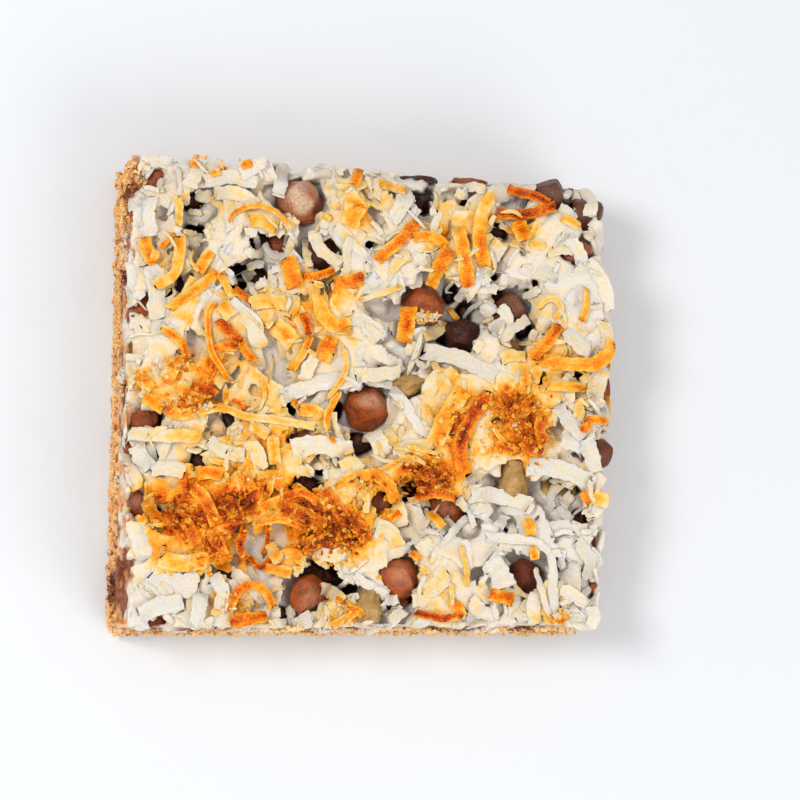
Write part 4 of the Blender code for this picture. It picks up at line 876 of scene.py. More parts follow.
class Shred:
    """One shred laid along a line: stations with a middle, a side and a face direction."""

    def __init__(self, ground, line, width, thickness, toast, lift, draw, top, rest, curl=0.0,
                 stiff=0.5):
        steps = 15
        line = smooth_line(line, steps)
        share = np.linspace(0, 1, steps)
        run = np.gradient(line, axis=0)
        run /= np.linalg.norm(run, axis=1)[:, None] + 1e-9
        across = np.column_stack([-run[:, 1], run[:, 0]])
        under = np.maximum.reduce([
            ground.read(ground.height, line + across * width * offset) for offset in (-0.35, 0.0, 0.35)
        ])
        straight = np.polyval(np.polyfit(share, under, 2), share)
        limp = np.polyval(np.polyfit(share, under, 5), share)
        straight += stiff * np.percentile(under - straight, 85)
        height = straight * stiff + limp * (1 - stiff) + rest
        height += lift * 4 * share * (1 - share)
        height += curl * np.abs(2 * share - 1) ** 3
        height = settle(height, top + draw.uniform(-0.5, 0.2))
        self.middle = np.column_stack([line, height])
        along = np.gradient(self.middle, axis=0)
        along /= np.linalg.norm(along, axis=1)[:, None] + 1e-9
        roll = draw.uniform(-0.35, 0.35) + draw.uniform(-0.4, 0.4) * (share - 0.5)
        flat = np.column_stack([across, np.zeros(steps)])
        up = np.cross(along, flat) * -1
        up *= np.sign(up[:, 2:3]) + (up[:, 2:3] == 0)
        self.side = flat * np.cos(roll)[:, None] + up * np.sin(roll)[:, None]
        self.face = up * np.cos(roll)[:, None] - flat * np.sin(roll)[:, None]
        self.width = width
        self.thickness = thickness
        self.toast = toast
        self.share = share
        self.cup = draw.uniform(-0.22, 0.22) * width / 2
        self.slant = draw.uniform(-1.4, 1.4)
        self.taper = draw.choice((0.0, 0.05, 0.15, 0.4) if width > 1.3 else (0.2, 0.5, 0.8, 0.95))
        self.uneven = draw.uniform(0.5, 1.0)
        self.seed = draw.randrange(10 ** 6)
        self.share_of_place = 0.1
        self.ground = ground

    def at(self, values, share):
        return np.column_stack([np.interp(share, self.share, column) for column in values.T])

    def place(self, shape):
        """Places of a straight shred's corners, given as (along, across, up), on this one."""
        along, across, up = shape.T
        length = np.linalg.norm(self.middle[-1] - self.middle[0]) + 0.5
        own = np.column_stack([along * length, across * 1.5 + self.seed % 97, along * 0 + self.seed % 89])
        ragged = lumps(own, 1.9, 17)
        fine = lumps(own, 0.7, 18)
        at_end = np.abs(2 * along - 1) > 0.97
        torn = (0.6 * ragged + 0.9 * fine + self.slant * across) * min(1.2 / length, 0.14)
        along = np.where(at_end, along + torn, along)
        taper = 1 - self.taper * np.abs(2 * along - 1) ** 5
        frayed = lumps(own, 0.42, 20)
        half = self.width / 2 * taper * (1 + self.uneven * (0.26 * ragged + 0.24 * fine))
        half = half + 0.13 * self.uneven * frayed
        middle = self.at(self.middle, along)
        side = self.at(self.side, along)
        face = self.at(self.face, along)
        swell = 1 + 0.15 * fine
        points = middle + side * (across * half)[:, None]
        points = points + face * (up * self.thickness / 2 * swell)[:, None]
        points[:, 2] += self.cup * across ** 2 + 0.12 * ragged
        ends = middle[:, :2] - self.at(self.middle, np.clip(along, 0, 1))[:, :2]
        points[:, :2] += ends
        return points

    def surface(self):
        """Many points of its upper face, with their toast."""
        length = np.linalg.norm(np.diff(self.middle, axis=0), axis=1).sum()
        rows = max(int(length / CELL * 1.6), 4)
        columns = max(int(self.width / CELL * 1.6), 3)
        along, across = np.meshgrid(np.linspace(0, 1, rows), np.linspace(-1, 1, columns))
        shape = np.column_stack([along.ravel(), across.ravel(), np.ones(along.size)])
        points = self.place(shape)
        return points, self.toast_at(shape, points)

    def toast_at(self, shape, points):
        """Browning along the shred, paler at its rims, with that of its place."""
        along, across, _ = shape.T
        base = np.interp(along, [0, 1], self.toast)
        base = base + self.share_of_place * self.ground.read(self.ground.brown, points)
        rim = np.clip((np.abs(across) - 0.3) / 0.7, 0, 1) ** 2
        patch = lumps(np.column_stack([along * 3 + self.seed % 83, across, across * 0]), 0.8, 15)
        return np.clip(base * (1 - 0.3 * rim + 0.2 * patch), 0, 1)


def deselect():
    if bpy.context.object and bpy.context.object.mode != "OBJECT":
        bpy.ops.object.mode_set(mode="OBJECT")
    bpy.ops.object.select_all(action="DESELECT")


def pick(piece):
    """Makes this the one selected and active object."""
    deselect()
    piece.select_set(True)
    bpy.context.view_layer.objects.active = piece


def select_edges(rule):
    """In edit mode, selects just the edges for which the rule holds."""
    bpy.ops.mesh.select_mode(type="EDGE")
    bpy.ops.mesh.select_all(action="DESELECT")
    mesh = bmesh.from_edit_mesh(bpy.context.object.data)
    for edge in mesh.edges:
        if rule(edge.verts[0].co, edge.verts[1].co):
            edge.select_set(True)
    bmesh.update_edit_mesh(bpy.context.object.data)


def select_faces(rule):
    bpy.ops.mesh.select_mode(type="FACE")
    bpy.ops.mesh.select_all(action="DESELECT")
    mesh = bmesh.from_edit_mesh(bpy.context.object.data)
    for face in mesh.faces:
        if rule(face):
            face.select_set(True)
    bmesh.update_edit_mesh(bpy.context.object.data)


def corners_of(piece):
    points = np.empty(len(piece.data.vertices) * 3, np.float32)
    piece.data.vertices.foreach_get("co", points)
    return points.reshape(-1, 3).astype(float)


def move_corners(piece, points):
    piece.data.vertices.foreach_set("co", points.astype(np.float32).ravel())
    piece.data.update()


def normals_of(piece):
    found = np.empty(len(piece.data.vertices) * 3, np.float32)
    piece.data.vertices.foreach_get("normal", found)
    return found.reshape(-1, 3).astype(float)


def write_values(piece, name, values):
    layer = piece.data.attributes.get(name) or piece.data.attributes.new(name, "FLOAT", "POINT")
    layer.data.foreach_set("value", np.asarray(values, np.float32))


def taken(piece):
    """Corners and faces of a modelled piece, which is then taken away."""
    points = corners_of(piece)
    faces = [list(face.vertices) for face in piece.data.polygons]
    bpy.data.objects.remove(piece, do_unlink=True)
    return points, faces


def model_shred(cuts):
    """A straight shred with softened edges: corners as (along, across, up), and faces."""
    deselect()
    bpy.ops.mesh.primitive_cube_add(size=1, location=(0.5, 0, 0))
    shred = bpy.context.object
    bpy.ops.object.transform_apply(location=True)
    bpy.ops.object.mode_set(mode="EDIT")
    bpy.ops.transform.resize(value=(1, 2, 0.6), center_override=(0.5, 0, 0))
    select_edges(lambda a, b: abs(a.x - b.x) < 0.01 and abs(a.z - b.z) < 0.01)
    bpy.ops.mesh.subdivide(number_cuts=1)
    select_edges(lambda a, b: abs(a.x - b.x) > 0.5)
    bpy.ops.mesh.subdivide(number_cuts=cuts)
    select_faces(lambda face: abs(face.normal.y) > 0.9)
    bpy.ops.transform.resize(value=(1, 1, 0.6), center_override=(0, 0, 0))
    bpy.ops.object.mode_set(mode="OBJECT")
    points, faces = taken(shred)
    return points / [1, 1, 0.3], faces


def gather(name, parts):
    """One object from many (corners, faces, values) in millimetres."""
    points = []
    faces = []
    values = {}
    start = 0
    for corners, part_faces, part_values in parts:
        points.append(corners)
        faces.extend([[index + start for index in face] for face in part_faces])
        for key, value in part_values.items():
            values.setdefault(key, []).append(value)
        start += len(corners)
    mesh = bpy.data.meshes.new(name)
    mesh.from_pydata((np.vstack(points) * MM).tolist(), [], faces)
    mesh.update()
    piece = bpy.data.objects.new(name, mesh)
    bpy.context.scene.collection.objects.link(piece)
    for key, value in values.items():
        write_values(piece, key, np.concatenate(value))
    return piece


def apply_step(piece, kind, **settings):
    """Adds a modifier with these settings and applies it."""
    pick(piece)
    step = piece.modifiers.new(kind.title(), kind)
    for key, value in settings.items():
        setattr(step, key, value)
    bpy.ops.object.modifier_apply(modifier=step.name)


def copy_of_node(name, new_name):
    """A merged copy of a solid's mesh."""
    piece = frame["nodes"][name].copy()
    piece.data = frame["nodes"][name].data.copy()
    piece.name = new_name
    piece.data.name = new_name
    piece.parent = None
    for key in list(piece.keys()):
        del piece[key]
    bpy.context.scene.collection.objects.link(piece)
    piece.data.materials.clear()
    pick(piece)
    bpy.ops.object.mode_set(mode="EDIT")
    bpy.ops.mesh.select_all(action="SELECT")
    bpy.ops.mesh.remove_doubles(threshold=0.00001)
    bpy.ops.object.mode_set(mode="OBJECT")
    return piece


def finish_piece(piece, material, slot, *nodes):
    """Gives a piece its finish, hangs it on the root body, and hides the solids it stands for."""
    piece.data.materials.clear()
    piece.data.materials.append(material)
    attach(piece, "root")
    if nodes:
        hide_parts(*nodes)
    return piece


def smooth(piece, angle=None):
    pick(piece)
    if angle is None:
        bpy.ops.object.shade_smooth()
    else:
        bpy.ops.object.shade_smooth_by_angle(angle=math.radians(angle))


def tree_of(piece):
    return BVHTree.FromObject(piece, bpy.context.evaluated_depsgraph_get())


class Nodes:
    """A material's nodes, made and linked with few words."""

    def __init__(self, name):
        self.material = bpy.data.materials.new(name)
        self.material.use_nodes = True
        self.tree = self.material.node_tree
        self.shader = self.tree.nodes["Principled BSDF"]
        self.place = self.make("TexCoord").outputs["Object"]

    def feed(self, node, values):
        """Links outputs to a node's inputs, or sets the inputs to values."""
        for name, value in values.items():
            socket = node.inputs[name.replace("_", " ") if isinstance(name, str) else name]
            if isinstance(value, bpy.types.NodeSocket):
                self.tree.links.new(value, socket)
            else:
                socket.default_value = value
        return node

    def make(self, kind, **values):
        """A new node with these inputs."""
        return self.feed(self.tree.nodes.new("ShaderNode" + kind), values)

    def set(self, **values):
        """Gives the shader these inputs."""
        self.feed(self.shader, values)

    def soft(self, weight, depth, **values):
        """Lets light go in that many millimetres."""
        self.set(Subsurface_Weight=weight, Subsurface_Scale=depth * MM, **values)

    def value(self, name):
        node = self.make("Attribute")
        node.attribute_name = name
        return node.outputs["Fac"]

    def noise(self, size, detail=3.0, roughness=0.55, stretch=None):
        place = self.place
        if stretch:
            place = self.make("Mapping", Vector=place, Scale=stretch).outputs["Vector"]
        node = self.make("TexNoise", Vector=place, Scale=1 / (size * MM), Detail=detail,
                         Roughness=roughness)
        return node.outputs["Fac"]

    def streaks(self):
        """Fine streaks that run along each shred."""
        join = self.make("CombineXYZ", X=self.value("along"), Y=self.value("across"), Z=self.value("own"))
        return self.make("TexNoise", Vector=join.outputs[0], Scale=1.0, Detail=2.0).outputs["Fac"]

    def grains(self, size, output="Distance"):
        return self.make("TexVoronoi", Vector=self.place, Scale=1 / (size * MM)).outputs[output]

    def math(self, operation, a, b, clamp=False):
        node = self.make("Math")
        node.operation = operation
        node.use_clamp = clamp
        return self.feed(node, {0: a, 1: b}).outputs[0]

    def spread(self, source, low, high, start=0.0, end=1.0):
        node = self.make("MapRange", Value=source, From_Min=low, From_Max=high, To_Min=start, To_Max=end)
        return node.outputs["Result"]

    def ramp(self, source, stops):
        node = self.make("ValToRGB", Fac=source)
        elements = node.color_ramp.elements
        while len(elements) < len(stops):
            elements.new(0.5)
        for element, (place, colour) in zip(elements, stops):
            element.position = place
            element.color = linear(*colour)
        return node.outputs["Color"]

    def mix(self, share, a, b, blend="MIX"):
        """Two shades mixed; the second may be a colour from 0 to 255."""
        node = self.make("Mix")
        node.data_type = "RGBA"
        node.blend_type = blend
        b = linear(*b) if isinstance(b, tuple) else b
        return self.feed(node, {0: share, 6: a, 7: b}).outputs[2]

    def bump(self, source, height, after=None):
        node = self.make("Bump", Height=source, Distance=height * MM)
        if after is not None:
            self.feed(node, {"Normal": after})
        return node.outputs["Normal"]

    def marked(self, shade):
        """Melted chocolate and dried milk over a colour, where a piece carries those marks."""
        shade = self.mix(self.value("milked"), shade, DRIED_MILK)
        return self.mix(self.value("melted"), shade, self.ramp(self.noise(1.1, 4, 0.65), MELTED_RAMP))


def coconut_finish(name):
    """Coconut in baked milk: cream, straw, gold, orange and brown as it toasts; grey where deep, part wet
    milk, part painted shade.
    """
    made = Nodes(name)
    toast = made.value("toast")
    cloud = made.noise(1.6, 3)
    fleck = made.noise(0.35, 2)
    streak = made.streaks()
    clouded = made.math("MULTIPLY", made.spread(cloud, 0.3, 0.7, -0.11, 0.11),
                        made.spread(toast, 0.0, 0.3, 0.5, 1.0))
    flecked = made.math("MULTIPLY", made.spread(fleck, 0.3, 0.7, -0.16, 0.14),
                        made.spread(toast, 0.25, 0.7))
    level = made.math("ADD", made.math("ADD", toast, clouded), flecked, clamp=True)
    # Pale coconut lying deep goes grey: partly the wetter milk, partly painted shade
    sunk = made.math("MULTIPLY", made.spread(made.value("deep"), 0.15, 0.9),
                     made.spread(toast, 0.45, 0.2))
    shade = made.mix(made.math("MULTIPLY", sunk, 0.75), made.ramp(level, TOAST_RAMP),
                     made.ramp(cloud, DEEP_GREY_AND_SHADE_RAMP))
    shade = made.mix(1.0, shade, made.ramp(streak, LINED_RAMP), "MULTIPLY")
    # Painted shade: the bottoms of the dark openings are painted near black
    shade = made.mix(made.value("pit_shade"), shade, PIT_SHADE)
    # Painted light: the baked front wall is painted a little paler
    patch = made.math("ADD", made.noise(2.0, 4), made.math("MULTIPLY", made.value("front"), 0.1))
    shade = made.mix(made.value("wall"), shade, made.ramp(patch, BAKED_RAMP))
    fibres = made.math("MAXIMUM", made.noise(0.55, 2, 0.5, (0.22, 1.0, 1.0)),
                       made.noise(0.55, 2, 0.5, (1.0, 0.22, 1.0)))
    lower = made.bump(fibres, 0.15, made.bump(cloud, 0.14))
    fine = made.bump(streak, 0.035, made.bump(fleck, 0.12, lower))
    grit = made.math("MULTIPLY", made.grains(0.42), made.spread(toast, 0.45, 0.85, 0.25, 1.0))
    made.set(Base_Color=made.marked(shade), Roughness=made.spread(fleck, 0.2, 0.8, 0.28, 0.5),
             Normal=made.bump(grit, 0.32, fine), Specular_IOR_Level=0.18)
    made.soft(0.42, 1.3, Subsurface_Radius=(1.0, 0.8, 0.6))
    return made.material


def chocolate_finish(name):
    """Milk chocolate with a pale bloom, and darker where a chip says so."""
    made = Nodes(name)
    cloud = made.noise(1.5, 4)
    fleck = made.noise(0.3, 3)
    shade = made.mix(made.value("dark"), linear(*CHOCOLATE), DARK_CHOCOLATE)
    shade = made.mix(made.spread(cloud, 0.42, 0.66, 0.0, 0.6), shade, CLOUDED_CHOCOLATE)
    cover = made.math("MULTIPLY", made.spread(fleck, 0.3, 0.7, 0.3, 1.4), made.value("bloom"), clamp=True)
    made.set(Base_Color=made.mix(cover, shade, BLOOM), Roughness=made.spread(cloud, 0.3, 0.7, 0.22, 0.5),
             Normal=made.bump(fleck, 0.2, made.bump(cloud, 0.7)), Specular_IOR_Level=0.32)
    made.soft(0.05, 0.8)
    return made.material


def walnut_finish(name):
    """Walnut flesh: tan to olive brown, with darker veins."""
    made = Nodes(name)
    cloud = made.noise(1.4, 4)
    vein = made.noise(0.9, 4, 0.7, (1.0, 2.4, 1.0))
    shade = made.mix(made.spread(vein, 0.55, 0.72, 0.0, 0.7), made.ramp(cloud, WALNUT_RAMP), WALNUT_VEIN)
    made.set(Base_Color=shade, Roughness=made.spread(vein, 0.3, 0.7, 0.4, 0.62),
             Normal=made.bump(vein, 0.3, made.bump(cloud, 0.2)))
    made.soft(0.1, 1.0)
    return made.material


def crumb_finish(name):
    """Baked biscuit crumb: orange tan, with pale and dark grains."""
    made = Nodes(name)
    cloud = made.noise(3.0, 4)
    fleck = made.noise(0.4, 3)
    grains = made.make("SeparateColor", Color=made.grains(0.8, "Color")).outputs
    shade = made.ramp(cloud, CRUMB_RAMP)
    shade = made.mix(made.spread(grains[0], 0.7, 0.95, 0.0, 0.75), shade, DARK_CRUMB)
    shade = made.mix(made.spread(grains[1], 0.75, 1.0, 0.0, 0.8), shade, PALE_CRUMB)
    # Painted light: paler on the front side
    shade = made.mix(made.math("MULTIPLY", made.value("front"), 0.5), shade, FRONT_LIT_CRUMB)
    shade = made.mix(made.spread(fleck, 0.6, 0.75, 0.0, 0.4), shade, BURNT_CRUMB)
    made.set(Base_Color=made.marked(shade), Roughness=made.spread(fleck, 0.3, 0.7, 0.6, 0.9),
             Normal=made.bump(made.grains(0.55), 0.35, made.bump(cloud, 0.5)))
    made.soft(0.05, 0.8)
    return made.material


def milk_finish(name):
    """Milk baked to a pale caramel between the chips, whiter towards the coconut."""
    made = Nodes(name)
    cloud = made.noise(2.6, 4)
    fleck = made.noise(0.6, 3)
    up = made.make("SeparateXYZ", Vector=made.place).outputs["Z"]
    level = made.spread(up, BASE_TOP * MM, FILLING_TOP * MM)
    level = made.math("ADD", level, made.spread(cloud, 0.3, 0.7, -0.35, 0.35), clamp=True)
    shade = made.ramp(level, MILK_RAMP)
    # Painted light: paler on the front side
    shade = made.mix(made.math("MULTIPLY", made.value("front"), 0.5), shade, FRONT_LIT_MILK)
    shade = made.mix(made.spread(fleck, 0.58, 0.7, 0.0, 0.7), shade, CARAMEL_FLECK)
    made.set(Base_Color=made.marked(shade), Roughness=made.spread(cloud, 0.3, 0.7, 0.4, 0.65),
             Normal=made.bump(fleck, 0.15, made.bump(cloud, 0.4)))
    made.soft(0.15, 1.0)
    return made.material


def topping_heights():
    """Heights of the coconut solid over the grid, softened."""
    tree = tree_of(frame["nodes"]["coconut_topping"])
    coarse_x = np.arange(-44.0, 44.1, 1.0)
    coarse_y = np.arange(-42.0, 42.1, 1.0)
    coarse = np.full((len(coarse_y), len(coarse_x)), np.nan)
    for j, y in enumerate(coarse_y):
        for i, x in enumerate(coarse_x):
            hit = tree.ray_cast(Vector((x * MM, y * MM, 0.05)), Vector((0, 0, -1)))[0]
            if hit is not None and hit.z > BED_FLOOR * MM + 0.001:
                coarse[j, i] = hit.z / MM
    coarse = np.where(np.isnan(coarse), np.nanmedian(coarse) - 1.0, coarse)
    rows = np.array([np.interp(GRID_X, coarse_x, row) for row in coarse])
    height = np.array([np.interp(GRID_Y, coarse_y, column) for column in rows.T]).T
    return soften(height, 4)


def bed_ground():
    """The ground under the shreds, with the openings sunk into it, and the usual top of the coconut."""
    height = topping_heights()
    mesh_x, mesh_y = np.meshgrid(GRID_X, GRID_Y)
    points = np.column_stack([mesh_x.ravel(), mesh_y.ravel()])
    holes, depth, dark, raised, chips, domes = np.zeros((6, len(points)))
    ragged = unevenness(points, RAGGED_OPENINGS)
    for px, py, length, width, heading, kind, deep in OPENINGS:
        turn = math.radians(heading)
        off = points - spot(px, py, TOP_PLANE - 3)
        along = (off[:, 0] * math.cos(turn) + off[:, 1] * math.sin(turn)) / (length / 2 / SCALE + 0.15)
        across = (off[:, 1] * math.cos(turn) - off[:, 0] * math.sin(turn)) / (width / 2 / SCALE + 0.15)
        reach = np.hypot(along, across) + ragged
        film = kind == "film"
        open_here = np.clip((1.05 - reach) / (0.35 if film else 0.18), 0, 1)
        holes = np.maximum(holes, open_here * (reach < 0.9))
        if film:
            raised = np.maximum(raised, open_here * FILM_RAISED)
        depth = np.maximum(depth, open_here * deep * (0.2 if film else 1.0))
        # Openings that are not films get painted shade at their bottoms
        dark = np.maximum(dark, (not film) * (reach < 1.2))
    for name in frame["nodes"]:
        if name.startswith(("chip_", "walnut_")):
            low, high = box_of(name)
            middle = (low + high) / 2
            half = (high - low) / 2
            reach = np.hypot(*((points - middle[:2]) / half[:2]).T)
            clearance = CLEARED.get(name, USUAL_CLEARANCE)
            chips = np.maximum(chips, np.clip((clearance - reach + ragged) / 0.2, 0, 1))
            dome = middle[2] + half[2] * np.sqrt(np.clip(1 - reach ** 2, 0, 1)) - 0.2
            domes = np.where(reach < 1, np.maximum(domes, dome), domes)
    brown = toast_field(points)
    matted = field(MATTED, points)
    holes, depth, dark, raised, chips, domes, brown, matted = (
        values.reshape(height.shape)
        for values in (holes, depth, dark, raised, chips, domes, brown, matted)
    )
    base = height - SINK - depth + raised
    surface = Ground(np.maximum(base, domes), np.maximum(holes, chips))
    surface.base = base
    surface.brown = brown
    surface.chips = chips
    surface.matted = matted
    surface.dark = soften(dark, 1)
    return surface, height


def random_line(draw, lengths):
    u = draw.uniform(-1, 1)
    v = draw.uniform(-1, 1)
    middle = plan(u, v, 1.2)
    heading = draw.uniform(0, math.pi)
    half = draw.uniform(*lengths) / 2
    along = np.array([math.cos(heading), math.sin(heading)])
    across = np.array([-along[1], along[0]])
    bow = draw.uniform(-0.3, 0.3) * half
    return [middle - along * half, middle + across * bow, middle + along * half]


def haze_at(ground, line):
    """How browned the places at a line's two ends are."""
    return np.clip(ground.read(ground.brown, line[[0, -1]]) * 4, 0, 1)


def lay_random(ground, draw, count, lengths, widths, thickness, top, rest, bridging, lift, matted=0.0):
    """Shreds laid by chance, cut at the sides and the openings, each toasted as its place is."""
    laid = []
    for _ in range(count):
        line = random_line(draw, lengths)
        width = draw.uniform(*widths)
        line = free_run(ground, line, width, draw.uniform(-0.4, 1.2), draw.random() < bridging)
        shift = draw.gauss(0, 0.04)
        tinged = draw.choice((0.0, 0.0, 0.12, 0.3)), draw.choice((0.0, 0.0, 0.06, 0.16))
        arch = draw.uniform(0, lift)
        own = random.Random(draw.randrange(10 ** 6))
        spared = draw.random()
        if len(line) < 9 or spared < matted * ground.read(ground.matted, line[[len(line) // 2]])[0]:
            continue
        tinge = shift + haze_at(ground, line) * tinged
        shred = Shred(ground, line, width, thickness, tinge, arch, own, top, rest)
        shred.share_of_place = 1.0
        ground.lay(*shred.surface())
        laid.append(shred)
    return laid


def lay_rows(ground, draw, rows, thickness, top, rest, stiff, torn):
    """Shreds laid one after another along the lines read off the photograph."""
    laid = []
    for line, width, start, end, lift in rows:
        places = [spot(px, py) for px, py in line]
        own = random.Random(draw.randrange(10 ** 6))
        shred = Shred(ground, places, width / SCALE, thickness * own.uniform(0.85, 1.2), (start, end),
                      lift, own, top, rest, own.uniform(-0.1, 0.3), stiff)
        shred.taper *= 0.4
        shred.uneven *= torn
        ground.lay(*shred.surface())
        laid.append(shred)
    return laid


def rim_flaps(ground, draw):
    """Torn bits of coconut that hang over the edges of the openings."""
    laid = []
    for px, py, length, width, heading, kind, _ in OPENINGS:
        if kind == "film":
            continue
        middle = spot(px, py, TOP_PLANE - 1)
        half = np.array([length, width]) / 2 / SCALE
        heading = np.array(Matrix.Rotation(math.radians(heading), 2))
        count = max(round(half.sum() * FLAPS_PER_MM), 3)
        for i in range(count):
            turn = (i + draw.uniform(-0.35, 0.35)) / count * 2 * math.pi
            off = half + FLAP_OFF * draw.uniform(0.5, 1.2)
            rim = heading @ (np.array([math.cos(turn), math.sin(turn)]) * off)
            way = heading @ [-math.sin(turn) * half[0], math.cos(turn) * half[1]]
            skew = draw.uniform(-0.9, 0.9)
            way = np.array(Matrix.Rotation(skew, 2)) @ (way / np.linalg.norm(way))
            reach = draw.uniform(*FLAP_LENGTH) / 2
            wide = draw.uniform(*FLAP_WIDTH)
            bow = draw.uniform(-0.3, 0.3) * reach * np.array([-way[1], way[0]])
            line = [middle + rim - way * reach, middle + rim + bow, middle + rim + way * reach]
            own = random.Random(draw.randrange(10 ** 6))
            places = smooth_line(line, 9)
            sunk = ground.read(ground.holes, places).mean() > 0.55
            on_chip = ground.read(ground.chips, places).max() > 0.5
            if sunk or on_chip or not inside(places, 0.6).all():
                continue
            tinge = haze_at(ground, places) * own.choice((0.0, 0.05, 0.12))
            flap = Shred(ground, line, wide, FLAP_THICKNESS, tinge, own.uniform(0, 0.5), own, FLAP_TOP,
                         0.0, 0.1, 0.9)
            flap.share_of_place = 1.0
            flap.uneven *= 1.5
            ground.lay(*flap.surface())
            laid.append(flap)
    return laid


def core_of_bed(ground):
    """The bed's core: a fine sheet at the ground's height, its rim drawn down to the floor."""
    deselect()
    bpy.ops.mesh.primitive_grid_add(x_subdivisions=176, y_subdivisions=168, size=2)
    core = bpy.context.object
    core.name = "core"
    flat = corners_of(core)
    place = plan(flat[:, 0], flat[:, 1], BED_INSET)
    height = ground.read(ground.base, place)
    edge = np.maximum(np.abs(flat[:, 0]), np.abs(flat[:, 1]))
    wavy = unevenness(place, UNEVEN_RIM)
    hidden_side = np.maximum(flat[:, 0], flat[:, 1]) > 0.94
    height -= np.where(hidden_side, 1.6, 3.2) * np.clip((edge - 0.95 + wavy) / 0.05, 0, 1) ** 1.5
    share = np.interp(place[:, 1], *LEFT_SHARE)
    to_left = (place[:, 0] - left_side(place[:, 1])) / (0.8 * share + 0.8)
    height -= 2.6 * np.clip(1 - to_left + wavy * 6, 0, 1)
    points = np.column_stack([place, np.minimum(height, HIGHEST)])
    move_corners(core, points * MM)
    bpy.ops.object.mode_set(mode="EDIT")
    bpy.ops.mesh.select_all(action="SELECT")
    bpy.ops.mesh.extrude_region_move(TRANSFORM_OT_translate={"value": (0, 0, 0)})
    bpy.ops.transform.resize(value=(1, 1, 0), center_override=(0, 0, BED_FLOOR * MM))
    bpy.ops.mesh.select_all(action="SELECT")
    bpy.ops.mesh.normals_make_consistent(inside=False)
    bpy.ops.object.mode_set(mode="OBJECT")
    return core


def mark_sides(piece, points, share=1.0):
    """Writes the marks of the cut sides, and where the front side is, which the finishes paint paler as
    painted light.
    """
    over_base = np.clip((points[:, 2] - BASE_TOP) / 1.5, 0, 1)
    from_corner = np.hypot(*(points[:, :2] - FRONT_LEFT - [0, 5]).T)
    corner = np.clip((7.5 - from_corner) / 1.5, 0, 1)
    write_values(piece, "melted", marks(MELTED, points) * np.maximum(over_base, corner) * share)
    write_values(piece, "milked", marks(MILKED, points) * over_base * share)
    write_values(piece, "front", np.clip((3.0 - points[:, 1] + front_side(points[:, 0])) / 1.0, 0, 1))


def flatten_side(piece, level, side):
    """Takes out the many small faces of a flat side, and closes it with few."""
    pick(piece)
    bpy.ops.object.mode_set(mode="EDIT")
    select_faces(lambda face: face.normal.z * side > 0.98
                 and abs(face.calc_center_median().z - level * MM) < 0.16 * MM)
    bpy.ops.mesh.select_less()
    bpy.ops.mesh.dissolve_faces()
    bpy.ops.object.mode_set(mode="OBJECT")


def side_shred(draw):
    """Middle, run, outward way, half length and width of a shred in a cut side of the bed."""
    u, v = round_the_bar(draw.uniform(0, 4), 0.95)
    level = draw.uniform(BED_FLOOR + 0.8, SIDE_TOP)
    heading = draw.uniform(0, math.pi)
    half = draw.uniform(*SIDE_LENGTH) / 2
    width = draw.uniform(*SIDE_WIDTH)
    middle = np.array([*plan(u, v, BED_INSET + draw.uniform(0.0, 0.7)), level])
    front_or_back = abs(v) == 1.0
    flat = np.array([1.0, 0.0, 0.0]) if front_or_back else np.array([0.0, 1.0, 0.0])
    out = np.array([0.0, v, 0.0]) if front_or_back else np.array([u, 0.0, 0.0])
    run = flat * math.cos(heading) + np.array([0, 0, 1.0]) * math.sin(heading) * 0.7
    run = run + out * draw.uniform(-0.4, 0.4)
    return middle, run / np.linalg.norm(run), out, half, width


def side_parts(shape, faces, draw):
    """The shreds in the cut sides of the bed."""
    parts = []
    along, across, up = shape.T
    for _ in range(SIDE_SHREDS):
        middle, run, out, half, width = side_shred(draw)
        side = np.cross(run, out)
        side /= np.linalg.norm(side) + 1e-9
        face = np.cross(side, run)
        own = np.column_stack([along * 5, across, np.full(len(along), draw.uniform(0, 50))])
        wobble = lumps(own, 1.0, 19)
        points = (middle + run * ((2 * along - 1) * half)[:, None]
                  + side * (across * width / 2 * (1 + 0.25 * wobble))[:, None]
                  + face * (up * 0.55 + 0.3 * wobble)[:, None])
        points[:, 2] = np.clip(points[:, 2], BED_FLOOR + 0.2, 20.2)
        parts.append((cut_to_sides(points, 0.9), faces, {}))
    return parts


